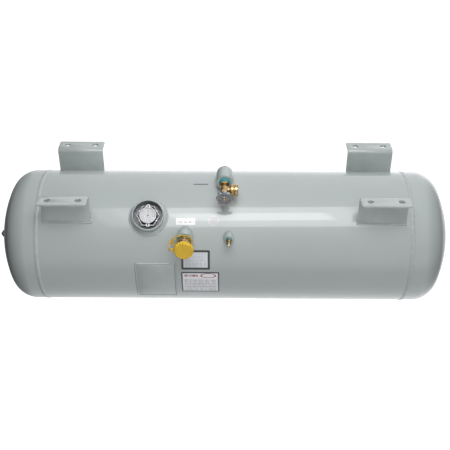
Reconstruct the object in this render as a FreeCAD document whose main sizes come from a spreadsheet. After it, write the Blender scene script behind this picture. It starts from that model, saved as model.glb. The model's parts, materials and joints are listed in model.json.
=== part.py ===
"""Horizontal pressure tank for liquefied petroleum gas, hung by four flanged brackets.

The tank lies along X. Its fittings face the front, -Y, and +Z is up. The origin is the centre
of the bolt pattern, on the plane of the bracket flanges' top faces, where the frame rails bolt
down. The tank's own axis runs along X, below that plane.
"""
import FreeCAD, Part
import Sketcher
import math
import os
import re

V = FreeCAD.Vector
DOC = FreeCAD.newDocument("pressure_tank")

# alias: (value in mm or degrees, what it is)
SIZES = {
    "tank_radius": (203.2, "outside radius of the shell, a 16 inch tank"),
    "shell_wall": (4.8, "wall of the rolled shell"),
    "head_wall": (4.8, "wall of the pressed heads"),
    "shell_length": (1112.0, "shell between the two girth seams"),
    "head_skirt": (35.0, "straight skirt of a head, seam to the start of the dish"),
    "head_depth": (101.6, "depth of the dish, 2:1"),
    "head_knuckle": (70.3, "outside knuckle radius of the dish"),
    "flange_stand": (27.0, "flange top face above the shell's top"),
    "seat_gap": (0.05, "gap left between curved faces that touch"),
    "weld_width": (13.0, "width of a girth weld's cap"),
    "weld_rise": (2.0, "height of a girth weld's cap"),
    "plate": (6.35, "thickness of the bracket plate"),
    "bend_inside": (6.0, "inside radius of the bracket's bend"),
    "bracket_width": (143.0, "bracket along the tank"),
    "bracket_inset": (92.45, "bracket centre from the nearer girth seam"),
    "leg_back": (142.2, "tank's middle plane to the inner face of a leg"),
    "flange_edge": (195.8, "tank's middle plane to the outer edge of a flange"),
    "hole_offset": (171.45, "tank's middle plane to a row of holes"),
    "hole_spacing": (88.9, "between the two holes of a bracket"),
    "hole_radius": (8.73, "bracket bolt hole for a 5/8 inch bolt"),
    "pad_place": (-203.5, "data plate's middle along the tank"),
    "pad_width": (113.0, "data plate along the tank"),
    "pad_angle": (38.0, "data plate's sweep round the shell"),
    "pad_tilt": (-11.5, "data plate's middle above the horizontal, degrees"),
    "pad_thickness": (3.0, "data plate"),
    "pad_bead": (6.0, "width of the weld round the data plate"),
    "gauge_place": (-223.5, "gauge along the tank"),
    "gauge_angle": (48.5, "gauge above the horizontal, degrees"),
    "ring_radius": (47.0, "outside radius of the gauge's guard ring"),
    "ring_wall": (3.6, "wall of the guard ring"),
    "ring_rise": (21.0, "guard ring above the shell, at its axis"),
    "collar_radius": (60.0, "reinforcing pad round the guard ring"),
    "collar_thickness": (4.0, "reinforcing pad round the guard ring"),
    "boss_radius": (30.0, "threaded boss under the gauge"),
    "boss_rise": (5.0, "boss above the shell, at its axis"),
    "gauge_thread": (23.9, "radius of the gauge's pipe thread"),
    "gauge_hex": (62.0, "gauge head across its flats"),
    "gauge_head_height": (6.0, "hexagonal head of the gauge"),
    "case_radius": (25.0, "round case that holds the dial"),
    "case_height": (7.0, "dial case above the hexagonal head"),
    "case_wall": (2.2, "wall of the dial case"),
    "dial_floor": (2.0, "bottom of the dial case"),
    "dial_thickness": (0.8, "dial"),
    "lens_thickness": (1.4, "clear lens over the dial"),
    "ear_radius": (4.6, "ear of the dial case"),
    "ear_offset": (28.7, "gauge axis to an ear's screw"),
    "ear_height": (3.2, "ear of the dial case"),
    "screw_radius": (1.6, "shank of a dial case screw"),
    "screw_head": (2.9, "head radius of a dial case screw"),
    "screw_head_height": (2.0, "head of a dial case screw"),
    "pointer_length": (15.0, "gauge axis to the pointer's tip"),
    "pointer_width": (2.4, "pointer at its root"),
    "pointer_thickness": (0.6, "pointer"),
    "pointer_gap": (1.0, "dial face to the pointer"),
    "pin_radius": (0.9, "pin that carries the pointer"),
    "running_gap": (0.06, "radial gap between a shaft and its hole"),
    "fitting_angle": (32.1, "where a front coupling's axis meets the shell, above the horizontal"),
    "coupling_stand": (17.9, "a front coupling's mouth in front of that point"),
    "fill_place": (-114.7, "fill coupling along the tank"),
    "fill_coupling_radius": (23.5, "outside radius of the fill coupling"),
    "fill_bore": (17.5, "bore of the fill coupling"),
    "fill_hex": (38.0, "fill valve across its flats"),
    "fill_hex_start": (15.0, "coupling's mouth to the fill valve's hexagon"),
    "fill_hex_length": (11.0, "fill valve's hexagon"),
    "fill_neck": (17.2, "radius of the fill valve behind its hexagon"),
    "fill_waterway": (9.0, "radius of the fill valve's waterway"),
    "fill_mouth": (14.0, "radius of the fill valve's open mouth"),
    "fill_mouth_depth": (8.0, "depth of the fill valve's open mouth"),
    "poppet_length": (6.0, "check poppet that closes the fill valve"),
    "acme_radius": (22.0, "fill valve's hose thread, 1 3/4 inch"),
    "acme_length": (32.0, "fill valve's hose thread"),
    "sealant_width": (3.0, "thread sealant left outside a coupling"),
    "cap_radius": (28.8, "fill cap over its grip ribs"),
    "cap_length": (14.0, "fill cap from mouth to face"),
    "cap_wall": (3.0, "face of the fill cap"),
    "cap_gap": (0.3, "fill cap to the thread that it covers"),
    "cap_groove": (2.4, "radius of a groove between two grip ribs"),
    "cap_grooves": (20.0, "grooves round the fill cap"),
    "strap_radius": (25.4, "middle of the strap's loop round the fill valve"),
    "strap_wide": (3.6, "strap's section across the loop"),
    "strap_thick": (2.4, "strap's section along the valve"),
    "strap_place": (10.0, "coupling's mouth to the middle of the strap's loop"),
    "strap_reach": (44.0, "valve's axis to the outside of the strap's fold"),
    "tail_width": (9.0, "strap's tail across"),
    "bleeder_place": (14.6, "bleeder coupling along the tank"),
    "bleeder_coupling_radius": (14.6, "outside radius of the bleeder coupling"),
    "bleeder_bore": (7.0, "bore of the bleeder coupling"),
    "bleeder_hex": (15.5, "bleeder across its flats"),
    "bleeder_waterway": (2.0, "radius of the bleeder's waterway"),
    "bleeder_slot": (1.4, "screwdriver slot in the vent screw"),
    "bleeder_length": (27.0, "bleeder outside its coupling"),
    "bleeder_screw_radius": (5.2, "vent screw of the bleeder"),
    "bleeder_screw_length": (8.0, "vent screw outside the bleeder"),
    "service_place": (0.8, "service elbow along the tank"),
    "service_stand": (18.8, "service valve's axis above the shell's top"),
    "elbow_radius": (25.25, "outside radius of the service elbow"),
    "elbow_reach": (54.0, "tank's middle plane to the elbow's mouth"),
    "elbow_bore": (13.3, "waterway of the service elbow"),
    "service_thread": (16.7, "radius of the service valve's pipe thread"),
    "thread_depth": (14.0, "pipe thread inside its coupling"),
    "shank_radius": (14.8, "radius of the service valve's shank, outside the elbow"),
    "shank_length": (13.0, "shank between the elbow's mouth and the hexagon, under sealant"),
    "shank_sealant": (1.4, "sealant left on the shank"),
    "service_hex": (28.0, "service valve across its flats"),
    "service_hex_length": (9.0, "service valve's hexagon"),
    "service_neck": (9.5, "radius of the service valve's neck"),
    "outlet_place": (45.0, "elbow's mouth to the outlet's axis"),
    "chest_radius": (12.0, "radius of the service valve's chest"),
    "chest_length": (30.0, "chest along the valve's axis"),
    "branch_radius": (10.0, "radius of the side branch behind the outlet's thread"),
    "branch_reach": (16.0, "valve's axis to the start of the outlet's thread"),
    "outlet_radius": (14.0, "radius of the outlet's thread"),
    "outlet_reach": (33.0, "valve's axis to the end of the outlet"),
    "outlet_cap_radius": (18.3, "radius of the outlet cap"),
    "outlet_cap_start": (17.5, "valve's axis to the near face of the outlet cap"),
    "outlet_cap_end": (39.5, "valve's axis to the far face of the outlet cap"),
    "outlet_cap_waist": (15.4, "radius of the outlet cap between its two rings"),
    "bonnet_hex": (26.0, "bonnet across its flats"),
    "bonnet_length": (12.0, "bonnet's hexagon"),
    "gland_radius": (8.5, "radius of the gland above the bonnet"),
    "gland_length": (8.0, "gland above the bonnet"),
    "stem_radius": (4.0, "valve stem"),
    "wheel_place": (94.0, "elbow's mouth to the handwheel's middle"),
    "wheel_radius": (24.0, "handwheel"),
    "wheel_thickness": (9.0, "handwheel's rim"),
    "wheel_scallop": (5.0, "radius of a hollow between two lobes"),
    "wheel_lobes": (8.0, "lobes of the handwheel"),
    "wheel_dish": (3.0, "depth of the handwheel's front recess"),
    "wheel_hub": (8.0, "radius of the handwheel's hub"),
    "nut_width": (9.5, "stem nut across its flats"),
    "nut_height": (4.5, "stem nut"),
    "plug_radius": (11.0, "plug in the left head"),
    "plug_rise": (20.0, "plug outside the left head"),
    "plug_nub": (4.0, "radius of the plug's nub"),
}


def make_sheet():
    """Write every driving size into the spreadsheet under its alias."""
    sheet = DOC.addObject("Spreadsheet::Sheet", "Dims")
    for row, (alias, (number, note)) in enumerate(SIZES.items(), start=1):
        sheet.set(f"A{row}", alias)
        sheet.set(f"B{row}", str(number))
        sheet.set(f"C{row}", note)
        sheet.setAlias(f"B{row}", alias)
    DOC.recompute()
    return sheet


SHEET = make_sheet()


def bound(expression):
    """An expression on aliases, as another object's property needs it."""
    return re.sub(r"[a-z_]+", lambda m: "Dims." + m[0] if m[0] in SIZES else m[0], str(expression))


def size(expression):
    """The number that an expression on aliases gives now."""
    return float(SHEET.evalExpression(str(expression)))


def drive(item, **expressions):
    """Bind properties of an object to expressions on the sheet."""
    for name, expression in expressions.items():
        item.setExpression(name, bound(expression))
    return item


def place(item, x="0", y="0", z="0", turn=None):
    """Put an object at a bound place, turned by turn = (axis, angle) about its own origin."""
    if turn:
        axis, angle = turn
        item.Placement = FreeCAD.Placement(V(), FreeCAD.Rotation(V(*axis), size(angle)))
        item.setExpression("Placement.Rotation.Angle", bound(angle))
    for letter, expression in zip("xyz", (x, y, z)):
        item.setExpression("Placement.Base." + letter, bound(expression))
    return item


# ---------------------------------------------------------------- building blocks

X_AXIS = (1, 0, 0)
Y_AXIS = (0, 1, 0)
Z_AXIS = (0, 0, 1)


def cylinder(name, radius, height, x="0", y="0", z="0", turn=None):
    item = drive(DOC.addObject("Part::Cylinder", name), Radius=radius, Height=height)
    return place(item, x, y, z, turn)


def box(name, length, width, height, x="0", y="0", z="0", turn=None):
    item = drive(DOC.addObject("Part::Box", name), Length=length, Width=width, Height=height)
    return place(item, x, y, z, turn)


def cut(name, base, tool):
    item = DOC.addObject("Part::Cut", name)
    item.Base = base
    item.Tool = tool
    return item


def fuse(name, shapes):
    item = DOC.addObject("Part::MultiFuse", name)
    item.Shapes = shapes
    return item


def common(name, base, tool):
    item = DOC.addObject("Part::Common", name)
    item.Base = base
    item.Tool = tool
    return item


def new_body(name):
    return DOC.addObject("PartDesign::Body", name)


def new_sketch(body, role, name):
    """A sketch on one of the body's own origin planes."""
    sketch = body.newObject("Sketcher::SketchObject", name)
    plane = next(f for f in body.Origin.OriginFeatures if f.Role == role)
    sketch.AttachmentSupport = (plane, "")
    sketch.MapMode = "FlatFace"
    return sketch


def pin_point(sketch, line, end, x, y):
    """Hold one point of a sketch at bound distances from the sketch's origin."""
    for kind, expression in (("DistanceX", x), ("DistanceY", y)):
        rule = Sketcher.Constraint(kind, -1, 1, line, end, size(expression))
        index = sketch.addConstraint(rule)
        sketch.setExpression(f"Constraints[{index}]", bound(expression))


def draw_outline(sketch, points):
    """A closed outline of straight lines through points given as pairs of expressions."""
    corners = [V(size(x), size(y), 0) for x, y in points]
    first = sketch.GeometryCount
    count = len(points)
    for i in range(count):
        sketch.addGeometry(Part.LineSegment(corners[i], corners[(i + 1) % count]), False)
    for i in range(count):
        follower = first + (i + 1) % count
        sketch.addConstraint(Sketcher.Constraint("Coincident", first + i, 2, follower, 1))
    for i, (x, y) in enumerate(points):
        pin_point(sketch, first + i, 1, x, y)


def draw_circle(sketch, x, y, radius):
    """A circle with its centre and radius bound."""
    circle = Part.Circle(V(size(x), size(y), 0), V(0, 0, 1), size(radius))
    index = sketch.addGeometry(circle, False)
    pin_point(sketch, index, 3, x, y)
    rule = sketch.addConstraint(Sketcher.Constraint("Radius", index, size(radius)))
    sketch.setExpression(f"Constraints[{rule}]", bound(radius))


def turned_body(name, points):
    """A body turned about Z from an outline of (radius, height) pairs."""
    body = new_body(name)
    sketch = new_sketch(body, "XZ_Plane", name + "_profile")
    draw_outline(sketch, points)
    revolution = body.newObject("PartDesign::Revolution", name + "_turned")
    revolution.Profile = sketch
    revolution.ReferenceAxis = (sketch, ["V_Axis"])
    revolution.Angle = 360.0
    return body


def hexagon_points(across):
    """Corners of a hexagon with a flat on each side of X, as expressions on its width."""
    half = f"({across}) / 2"
    corner = f"({across}) / sqrt(3)"
    side = f"({across}) / sqrt(3) / 2"
    return [
        (half, side), ("0", corner), ("-" + half, side),
        ("-" + half, "-" + side), ("0", "-" + corner), (half, "-" + side),
    ]


def padded_body(name, points, height):
    """A body padded up from the XY plane."""
    body = new_body(name)
    sketch = new_sketch(body, "XY_Plane", name + "_profile")
    draw_outline(sketch, points)
    pad = body.newObject("PartDesign::Pad", name + "_pad")
    pad.Profile = sketch
    drive(pad, Length=height)
    return body


def edges_where(shape, test):
    """Names of the straight edges whose two ends and middle all pass a test."""
    names = []
    for number, edge in enumerate(shape.Edges, start=1):
        points = [vertex.Point for vertex in edge.Vertexes] + [edge.CenterOfMass]
        if len(points) == 3 and all(test(point) for point in points):
            names.append(f"Edge{number}")
    return names


def round_edges(body, base, names, radius, label):
    fillet = body.newObject("PartDesign::Fillet", label)
    fillet.Base = (base, names)
    drive(fillet, Radius=radius)
    return fillet


# turned so that a piece's own Z points to the front, -Y, and its own Y points up
TO_FRONT = (X_AXIS, "90")
# turned so that a piece's own Z runs along the tank
ALONG_TANK = (Y_AXIS, "90")
TANK_AXIS = "-(tank_radius + flange_stand)"
SERVICE_RISE = "(tank_radius + service_stand)"
FITTING_HEIGHT = "(tank_radius * sin(fitting_angle * 1 deg))"
MOUTH_PLACE = "(tank_radius * cos(fitting_angle * 1 deg) + coupling_stand)"


def tank_cylinder(name, radius, length):
    """A cylinder on the tank's axis, centred on the tank's middle."""
    return cylinder(name, radius, length, x=f"-({length}) / 2", z=TANK_AXIS, turn=ALONG_TANK)


def coped(name, item):
    """An item cut to sit on the shell's outside."""
    clearance = tank_cylinder(name + "_cope", "tank_radius + seat_gap", "shell_length")
    return cut(name, item, clearance)


# ---------------------------------------------------------------- shell and heads

def make_shell():
    """Rolled shell with an opening behind each fitting."""
    outside = tank_cylinder("shell_outside", "tank_radius", "shell_length")
    inside = tank_cylinder("shell_inside", "tank_radius - shell_wall", "shell_length + 20")
    tube = cut("shell_tube", outside, inside)
    openings = [
        cylinder("fill_opening", "fill_bore", "tank_radius", "fill_place",
                 "0", f"{TANK_AXIS} + {FITTING_HEIGHT}", TO_FRONT),
        cylinder("bleeder_opening", "bleeder_bore", "tank_radius", "bleeder_place",
                 "0", f"{TANK_AXIS} + {FITTING_HEIGHT}", TO_FRONT),
        cylinder("service_opening", "elbow_bore", "tank_radius + 10", "service_place",
                 "0", TANK_AXIS),
        cylinder("gauge_opening", "gauge_thread", "tank_radius + 10", "gauge_place",
                 "0", TANK_AXIS, (X_AXIS, "90 - gauge_angle")),
    ]
    cut("shell", tube, fuse("shell_openings", openings))


def dish_outline(radius, depth, knuckle):
    """Edges of a dish from its rim to its middle: a knuckle arc, then a crown arc tangent to it."""
    crown = (depth ** 2 + (radius - knuckle) ** 2 - knuckle ** 2) / (2 * (depth - knuckle))
    skirt = size("head_skirt")
    lean = math.asin((radius - knuckle) / (crown - knuckle))

    def on_knuckle(angle):
        return V(radius - knuckle + knuckle * math.sin(angle), 0, skirt + knuckle * math.cos(angle))

    def on_crown(angle):
        return V(crown * math.sin(angle), 0, skirt + depth - crown + crown * math.cos(angle))

    rim = Part.Arc(on_knuckle(math.pi / 2), on_knuckle((lean + math.pi / 2) / 2), on_knuckle(lean))
    middle = Part.Arc(on_crown(lean), on_crown(lean / 2), on_crown(0))
    return [rim.toShape(), middle.toShape()]


def head_shape():
    """A pressed head of even wall: a straight skirt and a dish, opening towards -Z."""
    outer, depth, knuckle = size("tank_radius"), size("head_depth"), size("head_knuckle")
    skirt, wall = size("head_skirt"), size("head_wall")
    inner = outer - wall
    top = skirt + depth
    edges = [
        Part.makeLine(V(inner, 0, 0), V(outer, 0, 0)),
        Part.makeLine(V(outer, 0, 0), V(outer, 0, skirt)),
    ]
    edges += dish_outline(outer, depth, knuckle)
    edges.append(Part.makeLine(V(0, 0, top), V(0, 0, top - wall)))
    edges += reversed(dish_outline(inner, depth - wall, knuckle - wall))
    edges.append(Part.makeLine(V(inner, 0, skirt), V(inner, 0, 0)))
    wire = Part.Wire(Part.__sortEdges__(edges))
    return Part.Face(wire).revolve(V(0, 0, 0), V(0, 0, 1), 360)


def make_heads():
    """Both heads, and the threaded plug in the middle of the left one."""
    for side, sign in (("left", "-"), ("right", "")):
        head = DOC.addObject("Part::Feature", "head_" + side)
        head.Shape = head_shape()
        place(head, f"{sign}shell_length / 2", "0", TANK_AXIS, (Y_AXIS, sign + "90"))
    tip = "shell_length / 2 + head_skirt + head_depth"
    hole = cylinder("plug_hole", "plug_radius - 2", "40", f"-({tip}) - 10", "0", TANK_AXIS, ALONG_TANK)
    blank = DOC.getObject("head_left")
    blank.Label = "head_left_blank"
    cut("head_left_bored", blank, hole).Label = "head_left"
    body = turned_body("head_plug", [
        ("0", "-head_wall"), ("plug_radius - 2 - running_gap", "-head_wall"),
        ("plug_radius - 2 - running_gap", "seat_gap"), ("plug_radius", "seat_gap"),
        ("plug_radius", "plug_rise - 2"), ("plug_nub + 1", "plug_rise - 2"),
        ("plug_nub", "plug_rise + 2"), ("0", "plug_rise + 2"),
    ])
    place(body, f"-({tip})", "0", TANK_AXIS, (Y_AXIS, "-90"))


def make_girth_welds():
    """The low cap of each girth weld, a ring over the seam."""
    for side, sign in (("left", "-"), ("right", "")):
        name = "girth_weld_" + side
        body = turned_body(name, [
            ("tank_radius + seat_gap", "-weld_width / 2"),
            ("tank_radius + weld_rise * 0.7", "-weld_width / 3"),
            ("tank_radius + weld_rise", "0"),
            ("tank_radius + weld_rise * 0.7", "weld_width / 3"),
            ("tank_radius + seat_gap", "weld_width / 2"),
        ])
        place(body, f"{sign}shell_length / 2", "0", TANK_AXIS, ALONG_TANK)


# ---------------------------------------------------------------- brackets

def make_bracket(name, place_x, turn):
    """A bent plate: a leg that stands on the shell and a flange, turned outwards, with two holes."""
    body = new_body(name + "_plate")
    sketch = new_sketch(body, "YZ_Plane", name + "_section")
    draw_outline(sketch, [
        ("-leg_back", TANK_AXIS), ("-leg_back", "0"), ("-flange_edge", "0"),
        ("-flange_edge", "-plate"), ("-leg_back - plate", "-plate"), ("-leg_back - plate", TANK_AXIS),
    ])
    pad = body.newObject("PartDesign::Pad", name + "_pad")
    pad.Profile = sketch
    drive(pad, Length="bracket_width")
    pad.Midplane = True
    DOC.recompute()

    def at(y, z):
        return lambda point: abs(point.y - size(y)) < 0.01 and abs(point.z - size(z)) < 0.01

    bend = round_edges(body, pad, edges_where(pad.Shape, at("-leg_back", "0")),
                       "bend_inside + plate", name + "_bend")
    DOC.recompute()
    inside = round_edges(body, bend, edges_where(bend.Shape, at("-leg_back - plate", "-plate")),
                         "bend_inside", name + "_bend_inside")
    DOC.recompute()
    corners = edges_where(inside.Shape, lambda point: abs(point.y + size("flange_edge")) < 0.01
                          and abs(abs(point.x) - size("bracket_width / 2")) < 0.01)
    rounded = round_edges(body, inside, corners, "plate / 2", name + "_corners")
    holes = new_sketch(body, "XY_Plane", name + "_holes")
    for side in ("", "-"):
        draw_circle(holes, f"{side}hole_spacing / 2", "-hole_offset", "hole_radius")
    pocket = body.newObject("PartDesign::Pocket", name + "_pocket")
    pocket.Profile = holes
    pocket.Type = "Length"
    drive(pocket, Length="plate * 2")
    DOC.recompute()
    if abs(pocket.Shape.Volume - rounded.Shape.Volume) < 1:
        pocket.Reversed = True
    place(body, place_x, "0", "0", turn)
    coped(name, body)


def make_brackets():
    for side, sign in (("left", "-"), ("right", "")):
        offset = f"{sign}(shell_length / 2 - bracket_inset)"
        make_bracket("bracket_front_" + side, offset, None)
        make_bracket("bracket_rear_" + side, offset, (Z_AXIS, "180"))


# ---------------------------------------------------------------- data plate

def pad_sector(name, inner, outer, width, sweep):
    """A piece of tube round the tank's axis: width along the tank, sweep round the front."""
    tube = drive(DOC.addObject("Part::Cylinder", name + "_outer"),
                 Radius=outer, Height=width, Angle=sweep)
    core = cylinder(name + "_inner", inner, f"{width} + 20", z="-10")
    sector = cut(name, tube, core)
    sector.Placement = FreeCAD.Placement()
    return sector


def stand_sector(item, width, sweep):
    """Turn a sector so that its middle faces the front at pad_tilt, and put it in its place."""
    # the sector starts on its own X and sweeps towards its own Y: down the front of the shell
    start = size("pad_tilt") + size(sweep) / 2
    facing = FreeCAD.Rotation(V(0, -1, 0), V(0, 0, -1), V(1, 0, 0), "XYZ")
    item.Placement = FreeCAD.Placement(V(), FreeCAD.Rotation(V(1, 0, 0), -start) * facing)
    item.setExpression("Placement.Base.x", bound(f"pad_place - ({width}) / 2"))
    item.setExpression("Placement.Base.z", bound(TANK_AXIS))


def make_data_plate():
    """A curved plate welded all round to the shell, and the weld round it."""
    plate = pad_sector("data_plate", "tank_radius + seat_gap", "tank_radius + pad_thickness",
                       "pad_width", "pad_angle")
    stand_sector(plate, "pad_width", "pad_angle")
    bead_sweep = "pad_angle + 2 * pad_bead / tank_radius * 57.2958"
    gap_sweep = "pad_angle + 2 * seat_gap / tank_radius * 57.2958"
    rim = pad_sector("pad_rim", "tank_radius + seat_gap", "tank_radius + pad_thickness + 0.4",
                     "pad_width + 2 * pad_bead", bead_sweep)
    stand_sector(rim, "pad_width + 2 * pad_bead", bead_sweep)
    middle = pad_sector("pad_middle", "tank_radius - 5", "tank_radius + pad_thickness + 5",
                        "pad_width + 2 * seat_gap", gap_sweep)
    stand_sector(middle, "pad_width + 2 * seat_gap", gap_sweep)
    cut("data_plate_weld", rim, middle)


# ---------------------------------------------------------------- level gauge

GAUGE_TURN = (X_AXIS, "90 - gauge_angle")


def on_gauge(item, rise="0"):
    """Put a piece on the gauge's axis, its own Z pointing out of the shell, rise above the shell."""
    out = f"(tank_radius + {rise})"
    return place(item, "gauge_place", f"-{out} * cos(gauge_angle * 1 deg)",
                 f"{TANK_AXIS} + {out} * sin(gauge_angle * 1 deg)", GAUGE_TURN)


def make_gauge_mounting():
    """Guard ring, the reinforcing pad round it, and the threaded boss inside it."""
    ring = turned_body("gauge_ring_blank", [
        ("ring_radius - ring_wall", "-30"), ("ring_radius", "-30"),
        ("ring_radius", "ring_rise - 1"), ("ring_radius - 1", "ring_rise"),
        ("ring_radius - ring_wall + 1", "ring_rise"), ("ring_radius - ring_wall", "ring_rise - 1"),
    ])
    coped("gauge_ring", on_gauge(ring))
    annulus = cut("gauge_collar_annulus", cylinder("gauge_collar_disc", "collar_radius", "60"),
                  cylinder("gauge_collar_hole", "ring_radius + seat_gap", "60"))
    layer = cut("gauge_collar_layer",
                tank_cylinder("gauge_collar_top", "tank_radius + collar_thickness", "shell_length"),
                tank_cylinder("gauge_collar_under", "tank_radius + seat_gap", "shell_length + 20"))
    common("gauge_collar", on_gauge(annulus, "-40"), layer)
    boss = turned_body("gauge_boss_blank", [
        ("gauge_thread", "-30"), ("boss_radius", "-30"),
        ("boss_radius", "boss_rise"), ("gauge_thread", "boss_rise"),
    ])
    coped("gauge_boss", on_gauge(boss))


def make_gauge():
    """Hexagonal gauge head in the boss, dial case with two screwed ears, dial, pointer and lens."""
    bottom = "boss_rise"
    head_top = "gauge_head_height"
    floor = "dial_floor"
    hexagon = padded_body("gauge_hexagon", hexagon_points("gauge_hex"), head_top)
    stem = cylinder("gauge_stem", "gauge_thread - running_gap", "boss_rise + 8", z="-boss_rise - 8")
    tapped = [cylinder(f"gauge_tapped_{i}", "screw_radius", "5", y=f"{sign}ear_offset", z=f"{head_top} - 5")
              for i, sign in enumerate(("", "-"))]
    blank = fuse("gauge_head_blank", [hexagon, stem])
    on_gauge(cut("gauge_head", blank, fuse("gauge_tapped", tapped)), bottom)

    top = f"{bottom} + {head_top}"
    case = turned_body("gauge_case_round", [
        ("0", "0"), ("case_radius", "0"), ("case_radius", "case_height"),
        ("case_radius - case_wall", "case_height"), ("case_radius - case_wall", floor), ("0", floor),
    ])
    pieces = [case]
    holes = []
    for i, sign in enumerate(("", "-")):
        pieces.append(cylinder(f"gauge_ear_{i}", "ear_radius", "ear_height", y=f"{sign}ear_offset"))
        holes.append(cylinder(f"gauge_ear_hole_{i}", "screw_radius", "ear_height", y=f"{sign}ear_offset"))
    pocket = cylinder("gauge_case_pocket", "case_radius - case_wall", "case_height", z=floor)
    hole = fuse("gauge_case_holes", holes + [pocket])
    on_gauge(cut("gauge_case", fuse("gauge_case_blank", pieces), hole), top)

    for name, sign in (("gauge_screw_upper", ""), ("gauge_screw_lower", "-")):
        shank = cylinder(name + "_shank", "screw_radius - running_gap", "ear_height + 4",
                         y=f"{sign}ear_offset", z="-4")
        cap = cylinder(name + "_cap", "screw_head", "screw_head_height",
                       y=f"{sign}ear_offset", z="ear_height")
        on_gauge(fuse(name, [shank, cap]), top)

    pocket_radius = "case_radius - case_wall - running_gap"
    pin_top = "dial_thickness + pointer_gap + pointer_thickness + 0.3"
    dial = fuse("gauge_dial_blank", [
        cylinder("gauge_dial_disc", pocket_radius, "dial_thickness"),
        cylinder("gauge_pin", "pin_radius", pin_top),
    ])
    dial.Label = "gauge_dial"
    on_gauge(dial, f"{top} + {floor}")

    lens = cylinder("gauge_lens", pocket_radius, "lens_thickness")
    on_gauge(lens, f"{top} + case_height - lens_thickness")

    arm = padded_body("gauge_pointer_arm", [
        ("-pointer_width / 2", "-pointer_length * 0.35"), ("pointer_width / 2", "-pointer_length * 0.35"),
        ("pointer_width / 2", "0"), ("0.25", "pointer_length"), ("-0.25", "pointer_length"),
        ("-pointer_width / 2", "0"),
    ], "pointer_thickness")
    hub = cylinder("gauge_pointer_hub", "pin_radius + 1.6", "pointer_thickness")
    bore = cylinder("gauge_pointer_bore", "pin_radius + running_gap", "pointer_thickness")
    pointer = cut("gauge_pointer", fuse("gauge_pointer_blank", [arm, hub]), bore)
    on_gauge(pointer, f"{top} + {floor} + dial_thickness + pointer_gap")


# ---------------------------------------------------------------- front couplings

def at_mouth(item, place_x):
    """Put a piece on a front coupling's axis, its own Z pointing out of the coupling's mouth."""
    return place(item, place_x, "-" + MOUTH_PLACE, f"{TANK_AXIS} + {FITTING_HEIGHT}", TO_FRONT)


def make_coupling(name, place_x, radius, bore):
    """A coupling cut to the shell: an opening through it and a chamfered mouth."""
    blank = turned_body(name + "_blank", [
        (bore, f"-{MOUTH_PLACE} + 20"), (radius, f"-{MOUTH_PLACE} + 20"), (radius, "-1.5"),
        (f"{radius} - 1.5", "0"), (f"{bore} + 0.8", "0"), (bore, "-0.8"),
    ])
    coped(name, at_mouth(blank, place_x))


def make_fill_valve():
    """Coupling, valve with a hose thread, its sealant, yellow cap and the cap's strap."""
    make_coupling("fill_coupling", "fill_place", "fill_coupling_radius", "fill_bore")
    thread_start = "fill_hex_start + fill_hex_length"
    thread_end = f"{thread_start} + acme_length"
    stub = "fill_bore - running_gap"
    hexagon = padded_body("fill_hexagon", hexagon_points("fill_hex"), "fill_hex_length")
    place(hexagon, z="fill_hex_start")
    body = turned_body("fill_turned", [
        ("fill_waterway", "-thread_depth"), (stub, "-thread_depth"), (stub, "sealant_width"),
        ("fill_neck", "sealant_width"), ("fill_neck", thread_start), ("acme_radius", thread_start),
        ("acme_radius", f"{thread_end} - 1.5"), ("acme_radius - 1.5", thread_end),
        ("fill_mouth", thread_end), ("fill_mouth", f"{thread_end} - fill_mouth_depth"),
        ("fill_waterway", f"{thread_end} - fill_mouth_depth"),
    ])
    plug = cylinder("fill_poppet", "fill_waterway", "poppet_length",
                    z=f"{thread_end} - 2 * fill_mouth_depth")
    at_mouth(fuse("fill_valve", [hexagon, body, plug]), "fill_place")

    sealant = turned_body("fill_sealant", [
        (f"{stub} + seat_gap", "seat_gap"), (f"{stub} + 2.2", "seat_gap"),
        (f"{stub} + 1.4", "sealant_width - seat_gap"), (f"{stub} + seat_gap", "sealant_width - seat_gap"),
    ])
    at_mouth(sealant, "fill_place")

    cap_end = f"{thread_end} + cap_gap + cap_wall"
    cap_start = f"{cap_end} - cap_length"
    cap_bore = "acme_radius + cap_gap"
    cap = turned_body("fill_cap_body", [
        (cap_bore, cap_start), ("cap_radius - 1", cap_start), ("cap_radius", f"{cap_start} + 1"),
        ("cap_radius", f"{cap_end} - 2.5"), ("cap_radius - 2.5", cap_end), ("0", cap_end),
        ("0", f"{thread_end} + cap_gap"), (cap_bore, f"{thread_end} + cap_gap"),
    ])
    DOC.recompute()
    groove_sketch = new_sketch(cap, "XY_Plane", "fill_cap_groove_circle")
    draw_circle(groove_sketch, "cap_radius + cap_groove * 0.45", "0", "cap_groove")
    groove = cap.newObject("PartDesign::Pocket", "fill_cap_groove")
    groove.Profile = groove_sketch
    groove.Type = "Length"
    groove.Midplane = True
    drive(groove, Length=f"2 * ({cap_end}) + 20")
    pattern = cap.newObject("PartDesign::PolarPattern", "fill_cap_grooves")
    pattern.Originals = [groove]
    pattern.Axis = (groove_sketch, ["N_Axis"])
    pattern.Angle = 360.0
    drive(pattern, Occurrences="cap_grooves")
    cap.Tip = pattern
    cap.Label = "fill_cap"
    at_mouth(cap, "fill_place")

    make_strap(cap_start)


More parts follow.
